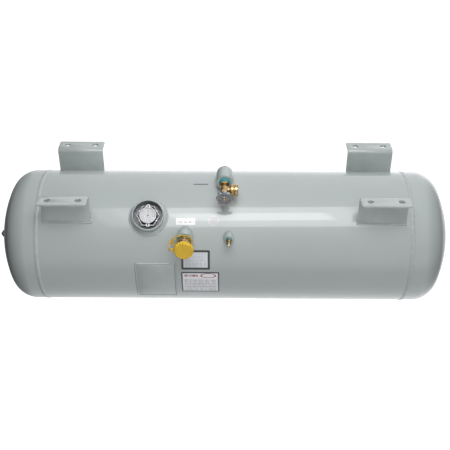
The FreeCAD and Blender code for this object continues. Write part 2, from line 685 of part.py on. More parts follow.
def make_strap(cap_start):
    """A moulded strap: a loop round the valve's neck, folded forward and back to the cap's side."""
    half = "strap_thick / 2"
    inner = "strap_radius - strap_wide / 2"
    outer = "strap_radius + strap_wide / 2"
    loop = turned_body("strap_loop", [
        (inner, "-" + half), (outer, "-" + half), (outer, half), (inner, half),
    ])
    forward = f"({cap_start} + 4 - strap_place)"
    shoulder = box("strap_shoulder", "strap_reach - strap_radius", "tail_width", "strap_thick",
                   x="-strap_reach", y="-tail_width / 2", z="-" + half)
    tail = box("strap_tail", "strap_thick", "tail_width", f"{forward} + strap_thick",
               x="-strap_reach", y="-tail_width / 2", z="-" + half)
    back = box("strap_return", "strap_reach - cap_radius - seat_gap", "tail_width", "strap_thick",
               x="-strap_reach", y="-tail_width / 2", z=f"{forward} - {half}")
    strap = fuse("fill_cap_strap", [loop, shoulder, tail, back])
    place(strap, "fill_place", f"-{MOUTH_PLACE} - strap_place", f"{TANK_AXIS} + {FITTING_HEIGHT}", TO_FRONT)


def make_bleeder():
    """Coupling, fixed level bleeder, its sealant and vent screw."""
    make_coupling("bleeder_coupling", "bleeder_place", "bleeder_coupling_radius", "bleeder_bore")
    stub = "bleeder_bore - running_gap"
    hexagon = padded_body("bleeder_hexagon", hexagon_points("bleeder_hex"), "bleeder_length * 0.45")
    place(hexagon, z="sealant_width")
    body = turned_body("bleeder_turned", [
        ("bleeder_waterway", "-thread_depth"), (stub, "-thread_depth"), (stub, "bleeder_length * 0.6"),
        ("bleeder_screw_radius + 1.2", "bleeder_length"), ("bleeder_waterway", "bleeder_length"),
    ])
    at_mouth(fuse("bleeder_valve", [hexagon, body]), "bleeder_place")
    sealant = turned_body("bleeder_sealant", [
        (f"{stub} + seat_gap", "seat_gap"), (f"{stub} + 2.6", "seat_gap"),
        (f"{stub} + 1.6", "sealant_width - seat_gap"), (f"{stub} + seat_gap", "sealant_width - seat_gap"),
    ])
    at_mouth(sealant, "bleeder_place")
    shank = "bleeder_waterway - running_gap"
    screw_end = "bleeder_length + bleeder_screw_length"
    knob = turned_body("bleeder_knob", [
        ("0", "bleeder_length - 6"), (shank, "bleeder_length - 6"),
        (shank, "bleeder_length + seat_gap"), ("bleeder_screw_radius", "bleeder_length + seat_gap"),
        ("bleeder_screw_radius", f"{screw_end} - 1"), ("bleeder_screw_radius - 1", screw_end),
        ("0", screw_end),
    ])
    slot = box("bleeder_slot_cutter", "2 * bleeder_screw_radius + 2", "bleeder_slot", "2.5",
               x="-bleeder_screw_radius - 1", y="-bleeder_slot / 2", z=f"{screw_end} - 2.4")
    at_mouth(cut("bleeder_screw", knob, slot), "bleeder_place")


# ---------------------------------------------------------------- service valve

def at_elbow(item, turn=TO_FRONT, x="0", out="0"):
    """Put a piece on the service valve's axis, out from the elbow's mouth."""
    return place(item, f"service_place + {x}", f"-elbow_reach - ({out})",
                 f"{TANK_AXIS} + {SERVICE_RISE}", turn)


def make_service_elbow():
    """A forged elbow: its leg stands on the shell, its rounded back turns the bore to the front."""
    leg = cylinder("elbow_leg", "elbow_radius", SERVICE_RISE, "service_place", "0", TANK_AXIS)
    knee = drive(DOC.addObject("Part::Sphere", "elbow_knee"), Radius="elbow_radius")
    place(knee, "service_place", "0", f"{TANK_AXIS} + {SERVICE_RISE}")
    arm = cylinder("elbow_arm", "elbow_radius", "elbow_reach", "service_place", "0",
                   f"{TANK_AXIS} + {SERVICE_RISE}", TO_FRONT)
    outside = coped("elbow_outside", fuse("elbow_solid", [leg, knee, arm]))
    bores = fuse("elbow_bores", [
        cylinder("elbow_leg_bore", "elbow_bore", SERVICE_RISE, "service_place", "0", TANK_AXIS),
        cylinder("elbow_arm_bore", "elbow_bore", "elbow_reach + 1", "service_place", "0",
                 f"{TANK_AXIS} + {SERVICE_RISE}", TO_FRONT),
        cylinder("elbow_thread", "service_thread", "thread_depth + 1", "service_place",
                 "-elbow_reach + thread_depth", f"{TANK_AXIS} + {SERVICE_RISE}", TO_FRONT),
    ])
    cut("service_elbow", outside, bores)


def make_service_valve():
    """Valve body with a side outlet and its cap, bonnet, stem, handwheel and stem nut."""
    stub = "service_thread - running_gap"
    chest_start = "outlet_place - chest_length / 2"
    chest_end = "outlet_place + chest_length / 2"
    bonnet_end = f"{chest_end} + bonnet_length"
    gland_end = f"{bonnet_end} + gland_length"
    stem_bore = "stem_radius + running_gap"

    hexagon = padded_body("service_hexagon", hexagon_points("service_hex"), "service_hex_length")
    place(hexagon, z="shank_length")
    turned = turned_body("service_turned", [
        ("0", "-thread_depth"), (stub, "-thread_depth"), (stub, "0"), ("shank_radius", "0"),
        ("shank_radius", "shank_length"), ("service_neck", "shank_length"),
        ("service_neck", f"{chest_start} - 2"), ("chest_radius", f"{chest_start} + 3"),
        ("chest_radius", chest_end), (stem_bore, chest_end),
        (stem_bore, f"{chest_end} - 8"), ("0", f"{chest_end} - 8"),
    ])
    branch = cylinder("service_branch", "branch_radius", "branch_reach - stem_radius - 2",
                      x="stem_radius + 2", z="outlet_place - 2", turn=(Y_AXIS, "90"))
    outlet = cylinder("service_outlet", "outlet_radius", "outlet_reach - branch_reach",
                      x="branch_reach", z="outlet_place - 2", turn=(Y_AXIS, "90"))
    at_elbow(fuse("service_valve", [hexagon, turned, branch, outlet]))

    seat = "shank_radius + seat_gap"
    sealant = turned_body("service_sealant", [
        (seat, "seat_gap"), (f"{seat} + shank_sealant * 1.4", "seat_gap"),
        (f"{seat} + shank_sealant", "shank_length - seat_gap"), (seat, "shank_length - seat_gap"),
    ])
    at_elbow(sealant)

    ring = "(outlet_cap_end - outlet_cap_start) * 0.36"
    cap_bore = "outlet_radius + cap_gap"
    cap = turned_body("outlet_cap", [
        (cap_bore, "outlet_cap_start"), ("outlet_cap_radius", "outlet_cap_start"),
        ("outlet_cap_radius", f"outlet_cap_start + {ring}"),
        ("outlet_cap_waist", f"outlet_cap_start + {ring} + 1.5"),
        ("outlet_cap_waist", f"outlet_cap_end - {ring} - 1.5"),
        ("outlet_cap_radius", f"outlet_cap_end - {ring}"),
        ("outlet_cap_radius", "outlet_cap_end - 1"), ("outlet_cap_radius - 1", "outlet_cap_end"),
        ("0", "outlet_cap_end"), ("0", "outlet_reach + cap_gap"), (cap_bore, "outlet_reach + cap_gap"),
    ])
    at_elbow(cap, (Y_AXIS, "90"), out="outlet_place - 2")

    bonnet_hexagon = padded_body("bonnet_hexagon", hexagon_points("bonnet_hex"), "bonnet_length")
    place(bonnet_hexagon, z=chest_end)
    gland = cylinder("bonnet_gland", "gland_radius", "gland_length", z=bonnet_end)
    way = cylinder("bonnet_bore", stem_bore, "bonnet_length + gland_length + 2", z=f"{chest_end} - 1")
    at_elbow(cut("service_bonnet", fuse("bonnet_blank", [bonnet_hexagon, gland]), way))

    wheel_back = "wheel_place - wheel_thickness / 2"
    wheel_front = "wheel_place + wheel_thickness / 2"
    stem = cylinder("service_stem", "stem_radius", f"{wheel_front} - wheel_dish - ({chest_end}) + 7")
    at_elbow(stem, out=f"{chest_end} - 7")
    make_handwheel(wheel_back)
    nut = padded_body("stem_nut", hexagon_points("nut_width"), "nut_height")
    at_elbow(nut, out=f"{wheel_front} - wheel_dish")


def make_handwheel(wheel_back):
    """A cast wheel with lobes round its rim, a recess in its face and a hub on its stem."""
    wheel = turned_body("handwheel", [
        ("stem_radius + running_gap", "-4"), ("wheel_hub", "-4"), ("wheel_hub", "0"),
        ("wheel_radius - 2", "0"), ("wheel_radius", "2"), ("wheel_radius", "wheel_thickness - 2"),
        ("wheel_radius - 2", "wheel_thickness"), ("wheel_radius - 6", "wheel_thickness"),
        ("wheel_radius - 7", "wheel_thickness - wheel_dish"),
        ("stem_radius + running_gap", "wheel_thickness - wheel_dish"),
    ])
    DOC.recompute()
    sketch = new_sketch(wheel, "XY_Plane", "handwheel_scallop_circle")
    draw_circle(sketch, "wheel_radius + wheel_scallop * 0.55", "0", "wheel_scallop")
    scallop = wheel.newObject("PartDesign::Pocket", "handwheel_scallop")
    scallop.Profile = sketch
    scallop.Type = "Length"
    scallop.Midplane = True
    drive(scallop, Length="3 * wheel_thickness")
    pattern = wheel.newObject("PartDesign::PolarPattern", "handwheel_scallops")
    pattern.Originals = [scallop]
    pattern.Axis = (sketch, ["N_Axis"])
    pattern.Angle = 360.0
    drive(pattern, Occurrences="wheel_lobes")
    wheel.Tip = pattern
    at_elbow(wheel, out=wheel_back)


# ---------------------------------------------------------------- the whole tank

NODES = [
    "shell", "head_left", "head_right", "head_plug", "girth_weld_left", "girth_weld_right",
    "bracket_front_left", "bracket_front_right", "bracket_rear_left", "bracket_rear_right",
    "data_plate", "data_plate_weld",
    "gauge_ring", "gauge_collar", "gauge_boss", "gauge_head", "gauge_case", "gauge_dial",
    "gauge_pointer", "gauge_lens", "gauge_screw_upper", "gauge_screw_lower",
    "fill_coupling", "fill_sealant", "fill_valve", "fill_cap", "fill_cap_strap",
    "bleeder_coupling", "bleeder_sealant", "bleeder_valve", "bleeder_screw",
    "service_elbow", "service_sealant", "service_valve", "service_bonnet", "service_stem",
    "handwheel", "stem_nut", "outlet_cap",
]


def check_and_write():
    """Refuse a failed feature or a broken shape, then write one STEP file for each sub-part."""
    DOC.recompute()
    for item in DOC.Objects:
        if "Invalid" in item.State or "Error" in item.State:
            raise RuntimeError(f"{item.Label} did not build: {item.State}")
    os.makedirs("parts", exist_ok=True)
    for label in NODES:
        shape = DOC.getObjectsByLabel(label)[0].Shape
        if shape.isNull() or not shape.isValid() or not shape.Solids:
            raise RuntimeError(f"{label} has no valid shape")
        shape.exportStep(f"parts/{label}.step")
        print(f"{label}: {len(shape.Solids)} solid, {shape.Volume / 1000:.2f} cm3")


make_shell()
make_heads()
make_girth_welds()
make_brackets()
make_data_plate()
make_gauge_mounting()
make_gauge()
make_fill_valve()
make_bleeder()
make_service_elbow()
make_service_valve()
check_and_write()
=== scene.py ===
import json
from math import acos, atan2, cos, pi, radians, sin, sqrt, tau

import bmesh
import bpy
from mathutils import Matrix, Vector


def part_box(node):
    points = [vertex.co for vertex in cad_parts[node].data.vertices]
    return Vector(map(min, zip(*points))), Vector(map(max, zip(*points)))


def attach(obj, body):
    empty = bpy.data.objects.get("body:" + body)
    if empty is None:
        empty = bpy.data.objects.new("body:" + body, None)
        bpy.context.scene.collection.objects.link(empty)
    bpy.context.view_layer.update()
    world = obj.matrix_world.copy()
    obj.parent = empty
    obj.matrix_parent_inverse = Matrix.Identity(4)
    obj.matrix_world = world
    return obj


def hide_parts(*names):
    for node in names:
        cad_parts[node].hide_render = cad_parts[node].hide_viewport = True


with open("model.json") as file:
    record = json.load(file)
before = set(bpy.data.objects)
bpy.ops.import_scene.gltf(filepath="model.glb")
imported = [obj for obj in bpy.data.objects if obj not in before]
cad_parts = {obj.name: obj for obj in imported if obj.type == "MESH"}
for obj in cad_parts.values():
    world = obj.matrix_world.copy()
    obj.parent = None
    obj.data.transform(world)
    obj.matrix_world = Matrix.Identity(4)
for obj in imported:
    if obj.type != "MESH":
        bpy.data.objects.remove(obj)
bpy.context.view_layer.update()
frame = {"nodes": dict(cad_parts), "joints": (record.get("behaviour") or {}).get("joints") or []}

# ---- measures in metres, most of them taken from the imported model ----

MM = 0.001
SHELL_LOW, SHELL_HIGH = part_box("shell")
SEAM = SHELL_HIGH.x
RADIUS = (SHELL_HIGH.z - SHELL_LOW.z) / 2
AXIS_Z = (SHELL_HIGH.z + SHELL_LOW.z) / 2
HEAD_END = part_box("head_right")[1].x
WALL = 4.8 * MM
SKIRT = 35 * MM
KNUCKLE = 70.3 * MM
JOINTS = {joint["name"]: joint for joint in frame["joints"]}


def middle(node):
    low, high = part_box(node)
    return (low + high) / 2


def surface_height(sideways):
    """How far the shell's skin stands from the tank's axis plane, at a distance sideways from the axis."""
    return sqrt(RADIUS * RADIUS - sideways * sideways)


def on_tank(x, turn=0.0, sideways=0.0):
    """A place on the tank's axis at x, with Z outwards, turned from upright towards the front, then moved sideways."""
    upright = Matrix.Translation((x, 0, AXIS_Z)) @ Matrix.Rotation(turn, 4, "X")
    return upright @ Matrix.Translation((0, sideways, 0))


ALONG_TANK = Matrix.Translation((0, 0, AXIS_Z)) @ Matrix.Rotation(pi / 2, 4, "Y")
GAUGE_AXIS = Vector(JOINTS["pointer_turn"]["axis"])
GAUGE_TURN = atan2(-GAUGE_AXIS.y, GAUGE_AXIS.z)
GAUGE_X = middle("gauge_pointer").x
GAUGE = on_tank(GAUGE_X, GAUGE_TURN) @ Matrix.Translation((0, 0, RADIUS))
FILL_X = middle("fill_coupling").x
BLEEDER_X = middle("bleeder_coupling").x
FITTING_Z = middle("fill_coupling").z
TO_FRONT = Matrix.Rotation(pi / 2, 4, "X")
MOUTH_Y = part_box("fill_coupling")[0].y
FILL = Matrix.Translation((FILL_X, MOUTH_Y, FITTING_Z)) @ TO_FRONT
BLEEDER = Matrix.Translation((BLEEDER_X, MOUTH_Y, FITTING_Z)) @ TO_FRONT
WHEEL_SPOT = Vector(JOINTS["handwheel_turn"]["pos_m"])
ELBOW_MOUTH_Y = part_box("service_elbow")[0].y
SERVICE = Matrix.Translation((WHEEL_SPOT.x, ELBOW_MOUTH_Y, WHEEL_SPOT.z)) @ TO_FRONT
OUTLET_OUT = 43 * MM
OUTLET = SERVICE @ Matrix.Translation((0, 0, OUTLET_OUT)) @ Matrix.Rotation(pi / 2, 4, "Y")
RING_TOP = RADIUS + 21 * MM
PLUG = Matrix.Translation((-HEAD_END, 0, AXIS_Z)) @ Matrix.Rotation(-pi / 2, 4, "Y")


# ---- finishes ----

class Finish:
    """A material with its shader, and a few short ways to feed the shader's sockets."""

    def __init__(self, name, **sockets):
        self.material = bpy.data.materials.new(name)
        self.material.use_nodes = True
        self.nodes = self.material.node_tree.nodes
        self.links = self.material.node_tree.links
        self.shader = self.nodes["Principled BSDF"]
        self.place = self.nodes.new("ShaderNodeTexCoord").outputs["Object"]
        for socket, value in sockets.items():
            self.shader.inputs[socket.replace("_", " ")].default_value = value

    def add(self, kind, settings=None, **feeds):
        node = self.nodes.new(kind)
        for setting, value in (settings or {}).items():
            setattr(node, setting, value)
        for socket, source in feeds.items():
            target = node.inputs[int(socket[1:])] if socket[0] == "_" else node.inputs[socket]
            if isinstance(source, bpy.types.NodeSocket):
                self.links.new(source, target)
            else:
                target.default_value = source
        return node

    def noise(self, scale, detail=3.0, stretch=(1, 1, 1), centre=(0, 0, 0), turn=(0, 0, 0)):
        spot = self.add("ShaderNodeMapping", Vector=self.place, Scale=stretch, Location=centre, Rotation=turn)
        return self.add("ShaderNodeTexNoise", Vector=spot.outputs[0], Scale=scale, Detail=detail).outputs["Fac"]

    def ramp(self, source, *stops):
        node = self.add("ShaderNodeValToRGB", Fac=source)
        band = node.color_ramp
        for _ in stops[2:]:
            band.elements.new(0.5)
        for element, (spot, colour) in zip(band.elements, stops):
            element.position = spot
            element.color = (*colour, 1.0)
        return node.outputs["Color"]

    def span(self, source, low, high, start=0.3, end=0.7):
        node = self.add("ShaderNodeMapRange", Value=source)
        for socket, value in (("From Min", start), ("From Max", end), ("To Min", low), ("To Max", high)):
            node.inputs[socket].default_value = value
        return node.outputs["Result"]

    def colour(self, source):
        self.links.new(source, self.shader.inputs["Base Color"])

    def roughness(self, source):
        self.links.new(source, self.shader.inputs["Roughness"])

    def bump(self, source, depth, strength=1.0):
        """Bumps add up: each new one is fed by the one before."""
        node = self.add("ShaderNodeBump", Height=source, Distance=depth, Strength=strength)
        before = self.shader.inputs["Normal"].links
        if before:
            self.links.new(before[0].from_socket, node.inputs["Normal"])
        self.links.new(node.outputs[0], self.shader.inputs["Normal"])


def worn(name, tint, rough, *bumps, **sockets):
    """A finish whose colour, roughness and bumps each follow a noise of their own, given by its scale and detail."""
    finish = Finish(name, **sockets)
    scale, detail, *stops = tint
    finish.colour(finish.ramp(finish.noise(scale, detail), *stops))
    scale, detail, low, high = rough
    finish.roughness(finish.span(finish.noise(scale, detail), low, high))
    for scale, detail, depth, strength in bumps:
        finish.bump(finish.noise(scale, detail), depth * MM, strength)
    return finish.material


def dark_paint(name, dark, light):
    return worn(name, (160, 3, (0.30, dark), (0.70, light)), (120, 3, 0.35, 0.55), (500, 2, 0.05, 1.0), Coat_Weight=0.3)


def cast_aluminium(name, dark, light):
    return worn(name, (190, 5, (0.25, dark), (0.75, light)), (300, 4, 0.30, 0.50), (900, 3, 0.08, 0.7), Metallic=0.7)


def plated_steel(name, dark, light):
    return worn(name, (300, 4, (0.25, dark), (0.75, light)), (260, 3, 0.28, 0.45), (1200, 2, 0.02, 1.0), Metallic=1.0)


def ink(name, dark, light):
    return worn(name, (900, 3, (0.3, dark), (0.7, light)), (300, 2, 0.45, 0.6))


def label_film(name, border, paper, line, rows, margin, header=None, sparse=0.47):
    """A printed film: a border, ruled grey rows, and sometimes a head band with a bar and an oval outline."""
    film = Finish(name, Coat_Weight=0.9, Coat_Roughness=0.10, Coat_IOR=1.6)
    across = film.add("ShaderNodeSeparateXYZ", _0=film.add("ShaderNodeUVMap").outputs[0]).outputs

    def maths(operation, first, second):
        return film.add("ShaderNodeMath", {"operation": operation}, _0=first, _1=second).outputs[0]

    def above(source, edge):
        return maths("GREATER_THAN", source, edge)

    def between(source, low, high):
        return both(above(source, low), maths("LESS_THAN", source, high))

    def both(first, second):
        return maths("MULTIPLY", first, second)

    def blend(fac, first, second):
        node = film.add("ShaderNodeMix", {"data_type": "RGBA"}, Factor=fac)
        for socket, value in ((node.inputs[6], first), (node.inputs[7], second)):
            if isinstance(value, bpy.types.NodeSocket):
                film.links.new(value, socket)
            else:
                socket.default_value = (*value, 1.0)
        return node.outputs[2]

    side, top = margin
    inside = both(between(across[0], side, 1 - side), between(across[1], top, 1 - top))
    row = film.add("ShaderNodeMath", {"operation": "FRACT"}, _0=both(across[1], float(rows))).outputs[0]
    words = above(film.noise(620, 2, (1, 0.05, 0.05)), sparse)
    ruled = both(both(above(row, 0.62), words), between(across[0], side + 0.05, 0.95 - side))
    tint = blend(film.noise(120, 3), paper, tuple(0.92 * part for part in paper))
    tint = blend(ruled, tint, line)
    if header:
        height, red = header
        bar = both(between(across[1], 0.81, 0.89), between(across[0], 0.08, 0.44))
        wide = both(maths("ADD", across[0], -0.71), 1 / 0.21)
        tall = both(maths("ADD", across[1], -0.85), 1 / 0.10)
        far = maths("ADD", both(wide, wide), both(tall, tall))
        tint = blend(above(across[1], 1 - top - height), tint, paper)
        tint = blend(both(bar, words), tint, red)
        tint = blend(between(far, 0.62, 1.0), tint, red)
    film.colour(blend(inside, border, tint))
    film.roughness(film.span(film.noise(60, 3), 0.32, 0.45))
    return film.material


# Satin-gloss enamel over rolled plate: faint waves in the plate, and orange peel.
ENAMEL = worn(
    "grey_tank_enamel", (3.1, 4, (0.30, (0.455, 0.505, 0.495)), (0.70, (0.485, 0.535, 0.525))), (14, 5, 0.36, 0.46),
    (5.5, 1, 0.6, 0.35), (420, 2, 0.02, 0.5), Coat_Weight=1.0, Coat_Roughness=0.06, Coat_IOR=1.6)
# The same enamel over a weld bead, where spatter and ripples leave it rougher.
WELD_ENAMEL = worn(
    "grey_enamel_over_weld", (90, 4, (0.30, (0.45, 0.50, 0.49)), (0.70, (0.53, 0.58, 0.57))), (60, 3, 0.28, 0.42),
    (700, 3, 0.15, 0.6), Coat_Weight=0.5, Coat_Roughness=0.2)
# Enamel on the forged couplings, elbow, guard ring and brackets.
FORGING_ENAMEL = worn(
    "grey_enamel_on_forging", (28, 4, (0.30, (0.45, 0.50, 0.49)), (0.70, (0.50, 0.55, 0.54))), (40, 4, 0.30, 0.42),
    (260, 3, 0.06, 0.5), Coat_Weight=0.95, Coat_Roughness=0.10, Coat_IOR=1.6)
PLUG_PAINT = dark_paint("dark_plug_paint", (0.075, 0.082, 0.085), (0.13, 0.14, 0.145))
# Enamel darkened with painted shade, for the boss and the sheet inside the guard ring.
ENAMEL_PAINTED_SHADE = dark_paint("enamel_with_painted_shade", (0.16, 0.175, 0.18), (0.26, 0.28, 0.285))
# Forged and turned brass, lightly tarnished in patches.
BRASS = worn(
    "turned_brass", (130, 5, (0.25, (0.26, 0.165, 0.07)), (0.5, (0.54, 0.38, 0.18)), (0.8, (0.78, 0.60, 0.33))),
    (210, 4, 0.15, 0.32), (900, 2, 0.03, 0.5), Metallic=1.0)
PALE_BRASS = worn(
    "worn_bright_brass", (240, 4, (0.25, (0.62, 0.52, 0.36)), (0.75, (0.92, 0.87, 0.76))), (300, 4, 0.16, 0.34),
    (900, 2, 0.03, 0.5), Metallic=0.85)
YELLOW = worn(
    "yellow_cap_plastic", (75, 5, (0.25, (0.821, 0.515, 0.034)), (0.75, (0.929, 0.616, 0.055))), (160, 4, 0.38, 0.55),
    (1100, 3, 0.04, 0.6), Subsurface_Weight=0.08, Subsurface_Radius=(0.004, 0.002, 0.0005), Specular_IOR_Level=0.45)
SEALANT = worn(
    "teal_thread_sealant", (240, 4, (0.25, (0.008, 0.260, 0.300)), (0.75, (0.025, 0.44, 0.50))), (150, 3, 0.28, 0.45),
    (420, 3, 0.25, 0.7), Coat_Weight=0.6, Coat_Roughness=0.12)
CAST = cast_aluminium("cast_aluminium_wheel", (0.27, 0.28, 0.295), (0.50, 0.51, 0.53))
# Darker cast aluminium: painted shade for the handwheel's dished floor.
CAST_PAINTED_SHADE = cast_aluminium("cast_aluminium_painted_shade", (0.20, 0.205, 0.21), (0.33, 0.335, 0.345))
ZINC = worn(
    "bright_zinc_casting", (160, 5, (0.25, (0.40, 0.41, 0.425)), (0.75, (0.72, 0.73, 0.74))), (260, 4, 0.24, 0.45),
    (700, 3, 0.06, 0.6), Metallic=0.9)
SCREW_STEEL = plated_steel("plated_screw_steel", (0.09, 0.09, 0.095), (0.22, 0.22, 0.23))
# Near-black steel standing for painted shade in the gauge head's recess.
RECESS_PAINTED_SHADE = plated_steel("casting_recess_painted_shade", (0.02, 0.021, 0.022), (0.06, 0.06, 0.062))
STEM_STEEL = plated_steel("bare_stem_steel", (0.35, 0.35, 0.36), (0.55, 0.55, 0.56))
DIAL_WHITE = worn(
    "dial_card", (180, 4, (0.3, (0.80, 0.80, 0.81)), (0.7, (0.88, 0.88, 0.885))), (90, 2, 0.5, 0.62))
TICK_INK = ink("grey_tick_ink", (0.13, 0.13, 0.14), (0.22, 0.22, 0.23))
RED_INK = ink("faded_red_ink", (0.45, 0.18, 0.18), (0.55, 0.26, 0.25))
POINTER_GREY = ink("pointer_grey", (0.13, 0.135, 0.14), (0.2, 0.205, 0.21))
LENS = worn(
    "clear_lens", (40, 2, (0.3, (0.80, 0.82, 0.84)), (0.7, (0.88, 0.90, 0.92))), (120, 3, 0.04, 0.10),
    IOR=1.49, Alpha=0.14)


# ---- ways to make a piece ----

def settle(name, form, finish, nodes=(), body="tank", place=None, round_off=0.0, crease=35):
    """Puts the finished form in its place and makes it a piece of the tank."""
    if place is not None:
        bmesh.ops.transform(form, matrix=place, verts=form.verts)
    mesh = bpy.data.meshes.new(name)
    form.to_mesh(mesh)
    form.free()
    return settle_mesh(name, mesh, finish, nodes, body, round_off, crease)


def settle_mesh(name, mesh, finish, nodes=(), body="tank", round_off=0.0, crease=35):
    piece = bpy.data.objects.new(name, mesh)
    bpy.context.scene.collection.objects.link(piece)
    mesh.materials.clear()
    mesh.materials.append(finish)
    mesh.shade_smooth()
    if round_off:
        ease_edges(piece, round_off, 30).harden_normals = True
    else:
        mesh.set_sharp_from_angle(angle=radians(crease))
    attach(piece, body)
    if nodes:
        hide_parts(*nodes)
    return piece


def ease_edges(piece, width, least_angle):
    """Rounds the edges where two faces turn by more than the least angle, in degrees."""
    bevel = piece.modifiers.new("rounded_edges", "BEVEL")
    bevel.width = width
    bevel.segments = 2
    bevel.limit_method = "ANGLE"
    bevel.angle_limit = radians(least_angle)
    return bevel


def thicken(piece, thickness, offset):
    wall = piece.modifiers.new("thickness", "SOLIDIFY")
    wall.thickness = thickness
    wall.offset = offset


def spin_round(form, steps):
    """Turns the outline once about Z, and closes its seam and its poles."""
    bmesh.ops.spin(
        form, geom=form.verts[:] + form.edges[:], cent=(0, 0, 0), axis=(0, 0, 1),
        angle=tau, steps=steps, use_merge=True, use_duplicate=False)
    bmesh.ops.remove_doubles(form, verts=form.verts, dist=0.002 * MM)
    bmesh.ops.recalc_face_normals(form, faces=form.faces)


def outline(form, points, closed=False):
    """Draws a line through points given as (radius, height), and returns its vertices."""
    verts = [form.verts.new((radius, 0, height)) for radius, height in points]
    for first, second in zip(verts, verts[1:]):
        form.edges.new((first, second))
    if closed:
        form.edges.new((verts[-1], verts[0]))
    return verts


def turned(points, steps=72, closed=False):
    """A lathe piece: points are (radius, height) in millimetres."""
    form = bmesh.new()
    outline(form, [(radius * MM, height * MM) for radius, height in points], closed)
    spin_round(form, steps)
    return form


def arc_on(form, vert, centre, angle, steps):
    """Carries the outline on along an arc about centre, and returns its last vertex."""
    swept = bmesh.ops.spin(
        form, geom=[vert], cent=(centre[0], 0, centre[1]), axis=(0, -1, 0),
        angle=angle, steps=steps, use_merge=False, use_duplicate=False)
    return next(item for item in swept["geom_last"] if isinstance(item, bmesh.types.BMVert))


def pull_up(form, height):
    """Extrudes a flat form straight up."""
    pulled = bmesh.ops.extrude_face_region(form, geom=form.faces[:])
    tops = [item for item in pulled["geom"] if isinstance(item, bmesh.types.BMVert)]
    bmesh.ops.translate(form, verts=tops, vec=(0, 0, height))


def cut_slot(form, half_width, top, bottom):
    """A screwdriver slot along Y: what stands above top, between its sides, is brought to bottom; in millimetres."""
    for edge in (-half_width * MM, half_width * MM):
        bmesh.ops.bisect_plane(
            form, geom=form.verts[:] + form.edges[:] + form.faces[:], plane_co=(edge, 0, 0), plane_no=(1, 0, 0))
    for vert in form.verts:
        if abs(vert.co.x) < half_width * 1.05 * MM and vert.co.z > top * MM:
            vert.co.z = bottom * MM


def hexagon(across_flats, low, high, turn=0.0, ease=0.8):
    """A six-sided block with its outer corners eased; all in millimetres."""
    form = bmesh.new()
    bmesh.ops.create_circle(form, cap_ends=True, segments=6, radius=across_flats * MM / sqrt(3))
    bmesh.ops.rotate(form, verts=form.verts, matrix=Matrix.Rotation(turn, 3, "Z"))
    bmesh.ops.translate(form, verts=form.verts, vec=(0, 0, low * MM))
    pull_up(form, (high - low) * MM)
    corners = [edge for edge in form.edges if abs(edge.verts[0].co.z - edge.verts[1].co.z) > 0.1 * MM]
    bmesh.ops.bevel(
        form, geom=corners, offset=ease * MM, offset_type="OFFSET", segments=3,
        profile=0.5, affect="EDGES", material=-1, clamp_overlap=True)
    bmesh.ops.recalc_face_normals(form, faces=form.faces)
    return form


def copied(node):
    """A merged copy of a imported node's mesh, with its flat triangles joined into faces."""
    form = bmesh.new()
    form.from_mesh(frame["nodes"][node].data)
    bmesh.ops.remove_doubles(form, verts=form.verts, dist=0.01 * MM)
    bmesh.ops.dissolve_limit(form, angle_limit=radians(0.5), verts=form.verts, edges=form.edges)
    return form


def softened(node, finish, round_off, body="tank", name=None):
    return settle(name or node + "_softened", copied(node), finish, [node], body, round_off=round_off)


def ring_line(count, spot):
    return [spot(tau * step / count) for step in range(count)]


def closed_walk(corners, parts=0, pace=2.2 * MM):
    """Places along the sides between corners: so many parts a side, or else one at each pace."""
    for (x, y), (next_x, next_y) in zip(corners, corners[1:] + corners[:1]):
        count = parts or max(3, round(max(abs(next_x - x), abs(next_y - y)) / pace))
        for part in range(count):
            along = part / count
            yield x + (next_x - x) * along, y + (next_y - y) * along


def mesh_of(name, curve):
    """A curve's finished mesh."""
    drawn = bpy.data.objects.new(name, curve)
    bpy.context.scene.collection.objects.link(drawn)
    bpy.context.view_layer.update()
    mesh = bpy.data.meshes.new_from_object(drawn.evaluated_get(bpy.context.evaluated_depsgraph_get()))
    bpy.data.objects.remove(drawn)
    return mesh


def bead(name, lines, thickness, finish=None, nodes=(), ripple=0.16, pitch=2.2, flow=0.0):
    """Weld beads laid along closed lines of points, their width swelling at each ripple."""
    curve = bpy.data.curves.new(name, "CURVE")
    curve.dimensions = "3D"
    curve.bevel_depth = thickness
    curve.bevel_resolution = 2
    for points in lines:
        spline = curve.splines.new("POLY")
        spline.points.add(len(points) - 1)
        spline.use_cyclic_u = True
        for count, (knot, spot) in enumerate(zip(spline.points, points)):
            knot.co = (*spot, 1.0)
            knot.radius = 1 + ripple * sin(count * pitch) + 0.07 * sin(count * 0.37 + flow)
    return settle_mesh(name, mesh_of(name, curve), finish or WELD_ENAMEL, nodes, crease=60)


def foot_line(place, radius, sideways=0.0, count=90):
    """Where a round stub meets the shell; place has its origin on the tank's axis."""
    def spot(angle):
        across = radius * sin(angle) + sideways
        return place @ Vector((radius * cos(angle), across, surface_height(across)))
    return ring_line(count, spot)


# ---- the vessel ----

def make_shell():
    form = bmesh.new()
    inside = RADIUS - WALL
    outline(form, [(RADIUS, -SEAM), (RADIUS, SEAM), (inside, SEAM), (inside, -SEAM)], closed=True)
    spin_round(form, 288)
    settle("rolled_shell", form, ENAMEL, ["shell"], place=ALONG_TANK)


